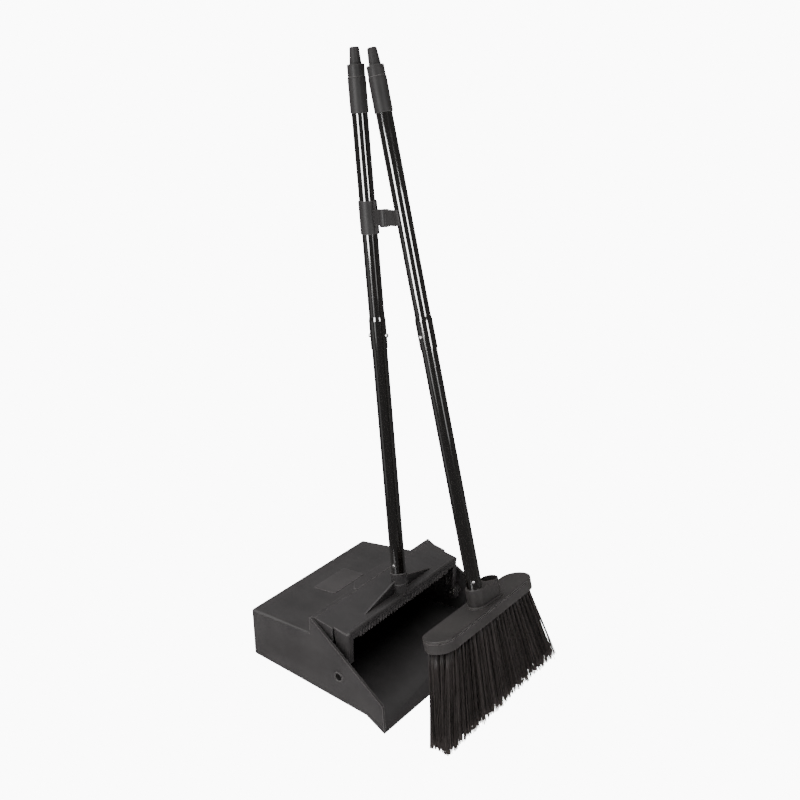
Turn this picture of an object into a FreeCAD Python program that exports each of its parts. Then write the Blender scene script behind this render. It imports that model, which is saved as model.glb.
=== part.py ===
"""Upright dust pan with a swing hood, and the long-handled lobby broom that clips to its handle.

Units are millimetres. +Z is up and Z = 0 is the floor. The mouth and the broom face -Y, the rear
wall of the pan faces +Y, and X runs across the set. The origin lies on the floor, midway between
the rear wall and the front of the bristles.
"""
import FreeCAD
import Part
import math
import os

V = FreeCAD.Vector
X_AXIS = V(1, 0, 0)
Y_AXIS = V(0, 1, 0)
Z_AXIS = V(0, 0, 1)

# ---------------------------------------------------------------- pan
WALL = 3.0
RIM_THICK = 4.4              # the walls thicken along their slanted front edges
RIM_DEPTH = 5.0
RIDGE_Y = 57.8               # where the hood's back edge meets the cover
RIDGE_Z = 130.5
EAR_HALF_WIDTH = 151.5       # outside half width of the pan at the ridge
SIDE_FLARE = 0.0903          # growth of the half width per mm towards the lip
REAR_TOP = (188.2, 94.4)     # y, z
REAR_BOTTOM = (186.0, 15.5)
COVER_FRONT_Z = 103.6
FRONT_EDGE_TOP = (-80.2, 43.2)
LIP = (-84.3, 0.0)
FLOOR_BEND = (-49.9, 15.5)
LIP_THICK = 1.4
UPSTAND_Z = 127.4            # rib across the front of the cover, under the hood's edge
PIVOT_Y = 2.8
PIVOT_Z = 56.0
LABEL = (76.0, 42.0, 0.8)
LABEL_Y = 127.5

# ---------------------------------------------------------------- pivots
SCREW_R = 3.0
SCREW_HEAD_R = 4.9
BUSH_INNER_R = 3.06
BUSH_R = 5.2
RING_R = 7.9
RING_RISE = 2.0              # how far the ring boss stands out from the wall
NUT_R = 5.4

# ---------------------------------------------------------------- rear rollers
ROLLER_R = 11.0
ROLLER_W = 16.0
ROLLER_X = 85.0
ROLLER_Y = 150.0
ROLLER_AXLE_R = 2.0
WELL_TOP = 27.0

# ---------------------------------------------------------------- hood
HOOD_HALF = 146.4
HOOD_SLOPE = 0.17            # fall of the panel per mm towards the comb
HOOD_THICK = 3.0
ARM_OUTER = 143.0
ARM_INNER = 131.3
ARM_PLATE = 3.0
COMB_Y = -5.1                # front face of the comb strip
COMB_TIP_Z = 104.2
COMB_TEETH = 34
COMB_PITCH = 6.86
TOOTH_DEPTH = 4.2
BEAD_R = 3.4
NOTCH_Y = 21.8               # the panel is full width behind this line
SKIRT_Z = 98.0
TAB_REACH = 10.8
TAB_FRONT_HALF = 48.0
TAB_REAR_HALF = 31.0
TAB_THICK = 2.6

# ---------------------------------------------------------------- handles
TUBE_R = 11.1                # 7/8 inch tube
TUBE_WALL = 0.9
SWAGE_R = 12.1
SWAGE_IN = 11.16
CONE_LEN = 7.0
GRIP_R = 12.4
CAP_R = 11.8
BUTTON_R = 3.0
BUTTON_HOLE_R = 3.08
BUTTON_TIP = 14.8            # distance of a snap button's tip from the tube's axis
BUTTON_TRAVEL = 3.0

PAN_BASE = V(0, 5.9, 111.2)  # on the pan handle's axis, at the foot of its socket
PAN_LEAN = 5.41              # degrees, towards the rear
BROOM_BASE = V(-17.3, -136.6, 185.0)   # on the broom's axis, at the rim of its socket
BROOM_LEAN = 14.46
BROOM_SKEW = 1.157           # degrees, towards +X

# stations along the pan handle, from PAN_BASE
P_SOCKET_RING = 25.4
P_SOCKET_RIM = 44.1
P_TUBE_FOOT = 6.0
P_PIN = 34.0
P_RIVET = 57.0
P_SWAGE_FOOT = 395.1
P_SWAGE_TOP = 436.0
P_BUTTON = 413.8
P_CLIP_FOOT = 559.0
P_CLIP_TOP = 604.7
P_CLIP_ARM = 582.1
P_GRIP_FOOT = 721.0
P_SEAM = 768.4
P_SHOULDER = 783.8
P_TOP = 806.1
PAN_BUTTON_TURN = -74.0      # degrees about the handle, from +X

# stations along the broom handle, from BROOM_BASE
B_TUBE_FOOT = -6.0
B_RIVET = 11.0
B_SWAGE_FOOT = 349.9
B_SWAGE_TOP = 389.4
B_BUTTON = 367.6
B_CLIP = 531.3
B_GRIP_FOOT = 668.6
B_SEAM = 715.8
B_SHOULDER = 729.6
B_TOP = 752.6
BROOM_BUTTON_TURN = 172.0
BROOM_RIVET_TURN = 215.8

# ---------------------------------------------------------------- broom clip
CLIP_SLEEVE_R = 12.6
CLIP_ARM_H = 21.0
JAW_IN = 11.45
JAW_OUT = 14.2
JAW_HOOK = 2.0               # degrees that each jaw reaches past half way round
LIP_BEAD_R = 1.4

# ---------------------------------------------------------------- broom head, in the broom's frame
BLOCK_TOP = -28.1
BLOCK_BOTTOM = -46.5
BLOCK_X = 1.7
BLOCK_HALF_LEN = 124.1
BLOCK_HALF_WID = 24.2
GROOVE_DROP = 4.4
GROOVE = 0.9
BOSS_R = 14.3
SPARE_R = 13.3
SPARE_X = 34.0
SPARE_Y = -3.0
SOCKET_BORE_R = 10.4
SOCKET_MOUTH_R = 11.6
SOCKET_MOUTH_DEPTH = 8.0
SOCKET_FLOOR = -34.0
BRISTLE_ROOT_LEN = 118.6
BRISTLE_ROOT_WID = 19.4

# the bristles' footprint on the floor
TIP_X = (-154.0, 156.0)
TIP_Y = (-188.2, -152.0)


# ================================================================ helpers
def box(x0, x1, y0, y1, z0, z1):
    return Part.makeBox(x1 - x0, y1 - y0, z1 - z0, V(x0, y0, z0))


def rod(radius, start, axis, length):
    return Part.makeCylinder(radius, length, start, axis)


def ring(outer, inner, z0, z1):
    return rod(outer, V(0, 0, z0), Z_AXIS, z1 - z0).cut(rod(inner, V(0, 0, z0 - 1), Z_AXIS, z1 - z0 + 2))


def prism(points, axis, low, high):
    """Extrude a closed outline. The outline is given in the two axes that follow `axis` in X, Y, Z."""
    if axis == "x":
        corners = [V(low, a, b) for a, b in points]
        sweep = V(high - low, 0, 0)
    elif axis == "y":
        corners = [V(a, low, b) for a, b in points]
        sweep = V(0, high - low, 0)
    else:
        corners = [V(a, b, low) for a, b in points]
        sweep = V(0, 0, high - low)
    return Part.Face(Part.makePolygon(corners + corners[:1])).extrude(sweep)


def lathe(points):
    """Turn a closed outline of (radius, z) points about the Z axis."""
    corners = [V(r, 0, z) for r, z in points]
    return Part.Face(Part.makePolygon(corners + corners[:1])).revolve(V(0, 0, 0), Z_AXIS, 360)


def mirrored(shape):
    return shape.mirror(V(0, 0, 0), X_AXIS)


def both_sides(shape):
    return shape.fuse(mirrored(shape))


def rounded(shape, radius, chosen):
    """Round the edges that `chosen` accepts."""
    edges = [edge for edge in shape.Edges if chosen(edge)]
    return shape.makeFillet(radius, edges)


def runs_along(edge, axis):
    if len(edge.Vertexes) != 2:
        return False
    step = edge.Vertexes[1].Point - edge.Vertexes[0].Point
    return step.Length > 0 and abs(step.dot(axis)) > 0.999 * step.Length


def stadium_wire(cx, cy, half_len, half_wid, z):
    """A round-ended outline whose long side runs along X."""
    reach = half_len - half_wid
    a = V(cx - reach, cy - half_wid, z)
    b = V(cx + reach, cy - half_wid, z)
    c = V(cx + reach, cy + half_wid, z)
    d = V(cx - reach, cy + half_wid, z)
    edges = [
        Part.LineSegment(a, b).toShape(),
        Part.Arc(b, V(cx + half_len, cy, z), c).toShape(),
        Part.LineSegment(c, d).toShape(),
        Part.Arc(d, V(cx - half_len, cy, z), a).toShape(),
    ]
    return Part.Wire(edges)


def stadium(cx, cy, half_len, half_wid, z0, z1):
    return Part.Face(stadium_wire(cx, cy, half_len, half_wid, z0)).extrude(V(0, 0, z1 - z0))


PAN_FRAME = FreeCAD.Placement(PAN_BASE, FreeCAD.Rotation(X_AXIS, -PAN_LEAN))
BROOM_TURN = FreeCAD.Rotation(X_AXIS, -BROOM_LEAN).multiply(FreeCAD.Rotation(Y_AXIS, BROOM_SKEW))
BROOM_FRAME = FreeCAD.Placement(BROOM_BASE, BROOM_TURN)


def set_in(frame, shape):
    """Move a shape from a handle's own frame, with Z along the tube, to the set's frame."""
    placed = shape.copy()
    placed.transformShape(frame.toMatrix())
    return placed


def half_width(y, inset=0.0):
    return EAR_HALF_WIDTH + SIDE_FLARE * (RIDGE_Y - y) - inset


# ================================================================ pan
def plan_wedge(inset):
    """Everything between the two flared side walls, less `inset` on each side."""
    back = 220.0
    front = -120.0
    outline = [
        (half_width(front, inset), front),
        (half_width(back, inset), back),
        (-half_width(back, inset), back),
        (-half_width(front, inset), front),
    ]
    return prism(outline, "z", -10.0, 200.0)


def side_outline():
    ear_back = RIDGE_Y + WALL
    return [
        REAR_BOTTOM,
        REAR_TOP,
        (ear_back, COVER_FRONT_Z),
        (ear_back, RIDGE_Z),
        (RIDGE_Y, RIDGE_Z),
        FRONT_EDGE_TOP,
        LIP,
        FLOOR_BEND,
    ]


def inner_outline():
    """The room between floor, rear wall and cover, open over the mouth."""
    cover_under = COVER_FRONT_Z - WALL
    floor = REAR_BOTTOM[1] + WALL
    return [
        (REAR_BOTTOM[0] - WALL, floor),
        (REAR_TOP[0] - WALL, REAR_TOP[1] - WALL),
        (RIDGE_Y + WALL, cover_under),
        (RIDGE_Y, cover_under),
        (RIDGE_Y, UPSTAND_Z),
        (RIDGE_Y + 2 * WALL, UPSTAND_Z),
        (RIDGE_Y + 2 * WALL, 160.0),
        (-110.0, 160.0),
        (-110.0, LIP[1] + LIP_THICK),
        (LIP[0], LIP[1] + LIP_THICK),
        (FLOOR_BEND[0] - 1.0, floor),
    ]


def front_rim():
    """A thicker band along the slanted and upright front edges of both walls."""
    slope_y = RIDGE_Y - FRONT_EDGE_TOP[0]
    slope_z = RIDGE_Z - FRONT_EDGE_TOP[1]
    length = math.hypot(slope_y, slope_z)
    step_y = RIM_DEPTH * slope_z / length
    step_z = -RIM_DEPTH * slope_y / length
    band = [
        (RIDGE_Y, RIDGE_Z),
        FRONT_EDGE_TOP,
        LIP,
        (LIP[0] + 1.3 * RIM_DEPTH, LIP[1] + 4.0),
        (FRONT_EDGE_TOP[0] + 1.3 * RIM_DEPTH, FRONT_EDGE_TOP[1] + step_z + 2.5),
        (RIDGE_Y + step_y - 2.0, RIDGE_Z + step_z),
    ]
    shell = plan_wedge(0.0).cut(plan_wedge(RIM_THICK))
    return prism(band, "x", -200.0, 200.0).common(shell)


def roller_well():
    half = ROLLER_W / 2 + 1.5
    return box(ROLLER_X - half, ROLLER_X + half, ROLLER_Y - 13.5, ROLLER_Y + 13.5, 10.0, WELL_TOP - 2.0)


def roller_housing():
    """The raised well in the floor and the two ears under it that carry the axle."""
    half = ROLLER_W / 2 + 1.5
    hump = box(ROLLER_X - half - 2, ROLLER_X + half + 2, ROLLER_Y - 15.5, ROLLER_Y + 15.5, 16.0, WELL_TOP)
    ears = []
    for side in (-1, 1):
        near = ROLLER_X + side * half
        far = near + side * 3.0
        ear = box(min(near, far), max(near, far), ROLLER_Y - 6.0, ROLLER_Y + 6.0, ROLLER_R, 17.0)
        foot = rod(6.0, V(min(near, far), ROLLER_Y, ROLLER_R), X_AXIS, 3.0)
        ears.append(ear.fuse(foot))
    return hump, ears[0].fuse(ears[1])


def pan_body():
    outer = prism(side_outline(), "x", -200.0, 200.0).common(plan_wedge(0.0))
    inner = prism(inner_outline(), "x", -200.0, 200.0).common(plan_wedge(WALL))
    body = outer.cut(inner).fuse(front_rim())

    hump, ears = roller_housing()
    body = body.fuse(both_sides(hump)).cut(both_sides(roller_well())).fuse(both_sides(ears))
    axle_hole = rod(ROLLER_AXLE_R, V(ROLLER_X - 20, ROLLER_Y, ROLLER_R), X_AXIS, 40)
    body = body.cut(both_sides(axle_hole))

    outside = half_width(PIVOT_Y)
    centre = V(ARM_OUTER + 0.5, PIVOT_Y, PIVOT_Z)
    boss = rod(RING_R, centre, X_AXIS, outside + RING_RISE - centre.x)
    recess = rod(SCREW_HEAD_R + 0.4, V(outside - 2.2, PIVOT_Y, PIVOT_Z), X_AXIS, 10)
    bore = rod(SCREW_R + 0.05, V(ARM_OUTER - 5, PIVOT_Y, PIVOT_Z), X_AXIS, 30)
    body = body.fuse(both_sides(boss)).cut(both_sides(recess)).cut(both_sides(bore))
    return body.removeSplitter()


def cover_height(y):
    share = (y - (RIDGE_Y + WALL)) / (REAR_TOP[0] - (RIDGE_Y + WALL))
    return COVER_FRONT_Z + share * (REAR_TOP[1] - COVER_FRONT_Z)


def label_plate():
    width, depth, thick = LABEL
    front = LABEL_Y - depth / 2
    back = LABEL_Y + depth / 2
    outline = [
        (front, cover_height(front)),
        (back, cover_height(back)),
        (back, cover_height(back) + thick),
        (front, cover_height(front) + thick),
    ]
    plate = prism(outline, "x", -width / 2, width / 2)
    return rounded(plate, 3.0, lambda edge: edge.Length < 1.5)


def pivot_screw():
    """Shoulder screw: its head sits in the ring boss and its shank runs in the arm's bush."""
    seat = half_width(PIVOT_Y) - 2.2
    inner_end = ARM_OUTER - 14.0
    shank = rod(SCREW_R, V(inner_end, PIVOT_Y, PIVOT_Z), X_AXIS, seat - inner_end)
    head = rod(SCREW_HEAD_R, V(seat, PIVOT_Y, PIVOT_Z), X_AXIS, 2.4)
    head = rounded(head, 0.8, lambda edge: edge.CenterOfMass.x > seat + 2)
    slot_centre = V(seat + 1.2, PIVOT_Y, PIVOT_Z)
    slots = box(slot_centre.x, slot_centre.x + 3, PIVOT_Y - 0.6, PIVOT_Y + 0.6, PIVOT_Z - 3, PIVOT_Z + 3)
    cross = box(slot_centre.x, slot_centre.x + 3, PIVOT_Y - 3, PIVOT_Y + 3, PIVOT_Z - 0.6, PIVOT_Z + 0.6)
    return shank.fuse(head).cut(slots).cut(cross)


def pivot_nut():
    """Domed hexagon nut on the inner end of the pivot screw."""
    face = ARM_OUTER - ARM_PLATE - 1.5 - 0.25
    corners = []
    for step in range(6):
        turn = math.radians(60 * step)
        corners.append((PIVOT_Y + NUT_R * math.cos(turn), PIVOT_Z + NUT_R * math.sin(turn)))
    hexagon = prism(corners, "x", face - 4.0, face)
    dome = rod(4.2, V(face - 7.0, PIVOT_Y, PIVOT_Z), X_AXIS, 3.2)
    dome = rounded(dome, 2.0, lambda edge: edge.CenterOfMass.x < face - 6.9)
    thread = rod(SCREW_R + 0.02, V(ARM_OUTER - 14.02, PIVOT_Y, PIVOT_Z), X_AXIS, 30)
    return hexagon.fuse(dome).cut(thread)


def roller():
    centre = V(ROLLER_X - ROLLER_W / 2, ROLLER_Y, ROLLER_R)
    wheel = rod(ROLLER_R, centre, X_AXIS, ROLLER_W)
    wheel = rounded(wheel, 1.2, lambda edge: len(edge.Vertexes) == 1)
    dish_depth = 1.5
    hub_r = 4.5
    for start in (centre.x - 1, centre.x + ROLLER_W - dish_depth):
        disc = rod(ROLLER_R - 2.6, V(start, ROLLER_Y, ROLLER_R), X_AXIS, dish_depth + 1)
        hub = rod(hub_r, V(start, ROLLER_Y, ROLLER_R), X_AXIS, dish_depth + 1)
        wheel = wheel.cut(disc.cut(hub))
    bore = rod(ROLLER_AXLE_R + 0.06, V(centre.x - 1, ROLLER_Y, ROLLER_R), X_AXIS, ROLLER_W + 2)
    return wheel.cut(bore)


def roller_axle():
    half = ROLLER_W / 2 + 4.5
    return rod(ROLLER_AXLE_R, V(ROLLER_X - half, ROLLER_Y, ROLLER_R), X_AXIS, 2 * half)


# ================================================================ hood
def panel_height(y):
    return RIDGE_Z - HOOD_SLOPE * (RIDGE_Y - y)


def hood_section(y0, y1, low, high):
    """A slab under the sloping top of the panel, between two Y planes."""
    outline = [
        (y0, panel_height(y0) - HOOD_THICK),
        (y1, panel_height(y1) - HOOD_THICK),
        (y1, panel_height(y1)),
        (y0, panel_height(y0)),
    ]
    return prism(outline, "x", low, high)


def comb():
    root_z = COMB_TIP_Z + TOOTH_DEPTH
    strip = box(-ARM_OUTER + 1, ARM_OUTER - 1, COMB_Y, COMB_Y + HOOD_THICK, root_z, panel_height(COMB_Y) - 1)
    bead_y = COMB_Y + 2.2
    bead = rod(BEAD_R, V(-ARM_OUTER + 2, bead_y, panel_height(bead_y) - 1.2), X_AXIS, 2 * ARM_OUTER - 4)
    teeth = strip.fuse(bead)
    first = -COMB_PITCH * (COMB_TEETH - 1) / 2
    for index in range(COMB_TEETH):
        middle = first + index * COMB_PITCH
        outline = [
            (middle - 0.44 * COMB_PITCH, root_z + 0.5),
            (middle - 0.16 * COMB_PITCH, COMB_TIP_Z),
            (middle + 0.16 * COMB_PITCH, COMB_TIP_Z),
            (middle + 0.44 * COMB_PITCH, root_z + 0.5),
        ]
        teeth = teeth.fuse(prism(outline, "y", COMB_Y + 0.4, COMB_Y + HOOD_THICK))
    return teeth


def hood_arm():
    """Right arm: an outer plate down to the pivot, a front flange and a rear rib that face inwards."""
    top_front = panel_height(COMB_Y) - 0.5
    top_rear = panel_height(NOTCH_Y) - 0.5
    lobe_r = 12.0
    outline = [
        (COMB_Y, top_front),
        (COMB_Y, PIVOT_Z + 9.0),
        (PIVOT_Y, PIVOT_Z),
        (PIVOT_Y + lobe_r - 0.6, PIVOT_Z + 4.0),
        (NOTCH_Y, top_rear),
    ]
    inner_face = ARM_OUTER - ARM_PLATE
    plate = prism(outline, "x", inner_face, ARM_OUTER)
    plate = plate.fuse(rod(lobe_r, V(inner_face, PIVOT_Y, PIVOT_Z), X_AXIS, ARM_PLATE))

    corner = box(ARM_INNER, ARM_OUTER, COMB_Y, COMB_Y + 9.0, PIVOT_Z + 15.0, top_front)
    corner = rounded(corner, 5.0, lambda e: runs_along(e, Z_AXIS) and e.CenterOfMass.x > ARM_OUTER - 1
                     and e.CenterOfMass.y < COMB_Y + 1)
    hollow = box(ARM_INNER - 1, inner_face, COMB_Y + HOOD_THICK, COMB_Y + 20, PIVOT_Z, top_front + 5)
    clear = box(ARM_OUTER - 6, ARM_OUTER + 1, COMB_Y - 1, COMB_Y + 5.0, PIVOT_Z + 15.0, top_front)
    plate = plate.cut(clear).fuse(corner.cut(hollow))

    rib = box(ARM_INNER + 1.5, inner_face + 0.5, 8.5, 11.0, PIVOT_Z + 14.0, panel_height(9.0) - 1)
    boss = rod(8.5, V(inner_face - 1.5, PIVOT_Y, PIVOT_Z), X_AXIS, 2.0)
    bore = rod(BUSH_R, V(inner_face - 5, PIVOT_Y, PIVOT_Z), X_AXIS, 20)
    return plate.fuse(rib).fuse(boss).cut(bore)


def hood_socket():
    """The handle's socket, in the handle's own frame."""
    profile = [
        (0, -1),
        (13.2, -1),
        (12.7, P_SOCKET_RING - 1.2),
        (13.3, P_SOCKET_RING - 1.0),
        (13.3, P_SOCKET_RING + 1.0),
        (12.6, P_SOCKET_RING + 1.2),
        (12.6, P_SOCKET_RIM - 2.4),
        (13.1, P_SOCKET_RIM - 2.0),
        (13.1, P_SOCKET_RIM),
        (0, P_SOCKET_RIM),
    ]
    return lathe(profile)


def gusset():
    reach = 87.0
    outline = [(9.0, 142.5), (reach, 122.0), (reach, 119.8), (9.0, 116.0)]
    web = prism(outline, "y", 8.3, 10.8)
    return web


def hood_tab():
    """Thumb tab that stands out behind the ridge."""
    outline = [
        (-TAB_FRONT_HALF, RIDGE_Y),
        (TAB_FRONT_HALF, RIDGE_Y),
        (TAB_FRONT_HALF - 2, RIDGE_Y + WALL),
        (TAB_REAR_HALF, RIDGE_Y + WALL + TAB_REACH),
        (-TAB_REAR_HALF, RIDGE_Y + WALL + TAB_REACH),
        (-TAB_FRONT_HALF + 2, RIDGE_Y + WALL),
    ]
    return prism(outline, "z", RIDGE_Z - TAB_THICK, RIDGE_Z + 0.6)


def yoke_hood():
    back = RIDGE_Y + WALL
    notch_half = ARM_OUTER - 0.5
    wide = hood_section(NOTCH_Y, RIDGE_Y, -HOOD_HALF, HOOD_HALF)
    narrow = hood_section(COMB_Y + 1, NOTCH_Y, -notch_half, notch_half)
    ridge = box(-HOOD_HALF, HOOD_HALF, RIDGE_Y - 4, back, RIDGE_Z - 2.7, RIDGE_Z)
    flange = box(-HOOD_HALF, HOOD_HALF, RIDGE_Y - 3.4, RIDGE_Y - 0.4, 104.5, RIDGE_Z - 1)
    skirt = prism(
        [
            (NOTCH_Y, SKIRT_Z + 4),
            (RIDGE_Y - 2, SKIRT_Z),
            (RIDGE_Y - 2, panel_height(RIDGE_Y) - 1),
            (NOTCH_Y, panel_height(NOTCH_Y) - 1),
        ],
        "x", HOOD_HALF - HOOD_THICK, HOOD_HALF)
    hood = wide.fuse([narrow, ridge, flange, both_sides(skirt), comb(), hood_tab()])
    hood = hood.fuse(both_sides(hood_arm()))

    socket = set_in(PAN_FRAME, hood_socket())
    hood = hood.fuse(socket).fuse(both_sides(gusset()))
    bore = rod(TUBE_R + 0.04, V(0, 0, P_TUBE_FOOT), Z_AXIS, 60)
    pin_hole = rod(2.05, V(-30, 0, P_PIN), X_AXIS, 60)
    hood = hood.cut(set_in(PAN_FRAME, bore)).cut(set_in(PAN_FRAME, pin_hole))
    return hood.removeSplitter()


def pivot_bush():
    """Flanged bush in the arm's hole."""
    inner_face = ARM_OUTER - ARM_PLATE - 1.5
    body = rod(BUSH_R - 0.02, V(inner_face, PIVOT_Y, PIVOT_Z), X_AXIS, ARM_OUTER + 0.2 - inner_face)
    bore = rod(BUSH_INNER_R, V(inner_face - 1, PIVOT_Y, PIVOT_Z), X_AXIS, 20)
    return body.cut(bore)


# ================================================================ handle pieces, Z along the tube
def lower_tube(foot, top, button_at, turn, cross_hole):
    tube = ring(TUBE_R, TUBE_R - TUBE_WALL, foot, top)
    tube = tube.cut(button_holes(button_at, turn))
    height, hole_turn, radius = cross_hole
    return tube.cut(cross_rod(height, hole_turn, radius, 40))


def upper_tube(foot, full, top, button_at, turn):
    """Its lower end is swaged out, to slide over the lower tube."""
    inside = TUBE_R - TUBE_WALL
    tube = lathe([
        (SWAGE_IN, foot),
        (SWAGE_R - 0.3, foot),
        (SWAGE_R, foot + 0.6),
        (SWAGE_R, full),
        (TUBE_R, full + CONE_LEN),
        (TUBE_R, top),
        (inside, top),
        (inside, full + CONE_LEN + 0.5),
        (SWAGE_IN, full + 0.5),
    ])
    return tube.cut(button_holes(button_at, turn))


def cross_rod(height, turn, radius, length):
    """A rod across the tube, through its axis."""
    angle = math.radians(turn)
    along = V(math.cos(angle), math.sin(angle), 0)
    start = V(0, 0, height) - along * (length / 2)
    return rod(radius, start, along, length)


def button_holes(height, turn):
    return cross_rod(height, turn, BUTTON_HOLE_R, 60)


def snap_button(height, turn):
    """A domed button with a flange that stops it from inside the tube."""
    angle = math.radians(turn)
    along = V(math.cos(angle), math.sin(angle), 0)
    centre = V(0, 0, height)
    flange_in = 7.6
    flange_out = 8.8
    flange = rod(3.9, centre + along * flange_in, along, flange_out - flange_in)
    shank = rod(BUTTON_R, centre + along * flange_in, along, BUTTON_TIP - flange_in)
    tip = centre + along * BUTTON_TIP
    shank = rounded(shank, 1.6, lambda edge: (edge.CenterOfMass - tip).Length < 0.2)
    return flange.fuse(shank)


def snap_spring(height, turn):
    """A hairpin leaf inside the tube. Its legs press the two buttons outwards."""
    leg_in = 3.1
    leg_out = 3.9
    strip = 3.5
    foot = height - 34.0
    leg = box(leg_in, leg_out, -strip, strip, foot, height + 5.0)
    bend = rod(leg_out, V(0, -strip, foot), Y_AXIS, 2 * strip)
    bend = bend.cut(rod(leg_in, V(0, -strip - 1, foot), Y_AXIS, 2 * strip + 2))
    bend = bend.cut(box(-10, 10, -10, 10, foot, foot + 20))
    spring = leg.fuse(leg.mirror(V(0, 0, 0), X_AXIS)).fuse(bend)
    spring.rotate(V(0, 0, 0), Z_AXIS, turn)
    return spring


def grip_sleeve(foot, top):
    return lathe([
        (TUBE_R + 0.03, foot),
        (GRIP_R - 0.7, foot),
        (GRIP_R, foot + 0.9),
        (GRIP_R, top - 1.4),
        (GRIP_R - 0.5, top - 0.4),
        (TUBE_R + 0.03, top - 0.4),
    ])


def hang_cap(seam, shoulder, top):
    """End cap: a plug inside the tube, a short body and a tapered nub with a rounded end."""
    nub_root = 8.2
    nub_tip = 6.6
    end_round = 2.6
    profile = [
        V(0, 0, seam - 22),
        V(TUBE_R - TUBE_WALL - 0.1, 0, seam - 22),
        V(TUBE_R - TUBE_WALL - 0.1, 0, seam + 0.2),
        V(CAP_R - 0.4, 0, seam + 0.2),
        V(CAP_R, 0, seam + 1.0),
        V(CAP_R, 0, shoulder - 0.6),
        V(CAP_R - 0.9, 0, shoulder),
        V(nub_root, 0, shoulder + 0.5),
        V(nub_tip, 0, top - end_round),
    ]
    edges = [Part.LineSegment(a, b).toShape() for a, b in zip(profile, profile[1:])]
    middle = V(nub_tip - end_round * 0.29, 0, top - end_round * 0.29)
    edges.append(Part.Arc(profile[-1], middle, V(nub_tip - end_round, 0, top)).toShape())
    edges.append(Part.LineSegment(V(nub_tip - end_round, 0, top), V(0, 0, top)).toShape())
    edges.append(Part.LineSegment(V(0, 0, top), profile[0]).toShape())
    return Part.Face(Part.Wire(edges)).revolve(V(0, 0, 0), Z_AXIS, 360)


def cross_pin(height, turn, radius, half_length):
    return cross_rod(height, turn, radius, 2 * half_length)


# ================================================================ broom clip
def clip_sleeve():
    sleeve = ring(CLIP_SLEEVE_R, TUBE_R + 0.03, P_CLIP_FOOT, P_CLIP_TOP)
    rib = box(-2.5, 2.5, -CLIP_SLEEVE_R - 3.2, -CLIP_SLEEVE_R + 0.8, P_CLIP_FOOT, P_CLIP_TOP)
    return sleeve.fuse(rounded(rib, 1.2, lambda e: runs_along(e, Z_AXIS) and e.CenterOfMass.y < -CLIP_SLEEVE_R - 3))


def clip_neck(jaw_x, jaw_y):
    low = P_CLIP_ARM - CLIP_ARM_H / 2
    high = P_CLIP_ARM + CLIP_ARM_H / 2
    outline = [
        (-4.5, -CLIP_SLEEVE_R + 0.6),
        (4.5, -CLIP_SLEEVE_R + 0.6),
        (jaw_x + 4.0, jaw_y + JAW_OUT - 1.6),
        (jaw_x - 4.0, jaw_y + JAW_OUT - 1.6),
    ]
    web = prism(outline, "z", low, high)
    post = rod(7.2, V(jaw_x * 0.45, jaw_y * 0.45, low - 2.0), Z_AXIS, CLIP_ARM_H + 2.5)
    return web.fuse(rounded(post, 1.0, lambda e: len(e.Vertexes) == 1))


def clip_jaws():
    """A spring C around the broom's tube, open to the front, in the broom's frame."""
    start = math.radians(-JAW_HOOK)
    stop = math.radians(180 + JAW_HOOK)

    def at(radius, angle):
        return V(radius * math.cos(angle), radius * math.sin(angle), B_CLIP - CLIP_ARM_H / 2)

    middle = (start + stop) / 2
    edges = [
        Part.Arc(at(JAW_IN, start), at(JAW_IN, middle), at(JAW_IN, stop)).toShape(),
        Part.LineSegment(at(JAW_IN, stop), at(JAW_OUT, stop)).toShape(),
        Part.Arc(at(JAW_OUT, stop), at(JAW_OUT, middle), at(JAW_OUT, start)).toShape(),
        Part.LineSegment(at(JAW_OUT, start), at(JAW_IN, start)).toShape(),
    ]
    jaws = Part.Face(Part.Wire(edges)).extrude(V(0, 0, CLIP_ARM_H))
    bead_at = JAW_IN + LIP_BEAD_R
    for angle in (start, stop):
        jaws = jaws.fuse(rod(LIP_BEAD_R, at(bead_at, angle), Z_AXIS, CLIP_ARM_H))
    return jaws


def broom_clip():
    centre = BROOM_FRAME.multVec(V(0, 0, B_CLIP))
    local = PAN_FRAME.inverse().multVec(centre)
    frame_part = set_in(PAN_FRAME, clip_sleeve().fuse(clip_neck(local.x, local.y)))
    tube_room = set_in(BROOM_FRAME, rod(JAW_IN, V(0, 0, B_CLIP - 30), Z_AXIS, 60))
    return frame_part.cut(tube_room).fuse(set_in(BROOM_FRAME, clip_jaws())).removeSplitter()


# ================================================================ broom head, in the broom's frame
def socket_boss(radius_near, radius_far, low, high):
    """The hull of the two socket walls."""
    near = rod(radius_near, V(0, 0, low), Z_AXIS, high - low)
    far = rod(radius_far, V(SPARE_X, SPARE_Y, low), Z_AXIS, high - low)
    apart = math.hypot(SPARE_X, SPARE_Y)
    lean = math.atan2(SPARE_Y, SPARE_X)
    open_by = math.acos((radius_near - radius_far) / apart)
    corners = []
    for side in (1, -1):
        angle = lean + side * open_by
        pair = [
            (radius_near * math.cos(angle), radius_near * math.sin(angle)),
            (SPARE_X + radius_far * math.cos(angle), SPARE_Y + radius_far * math.sin(angle)),
        ]
        corners.extend(pair if side > 0 else pair[::-1])
    return near.fuse(far).fuse(prism(corners, "z", low, high))


def socket_hole(x, y):
    deep = rod(SOCKET_BORE_R, V(x, y, SOCKET_FLOOR), Z_AXIS, 60)
    mouth = rod(SOCKET_MOUTH_R, V(x, y, -SOCKET_MOUTH_DEPTH), Z_AXIS, 60)
    return deep.fuse(mouth)


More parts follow.
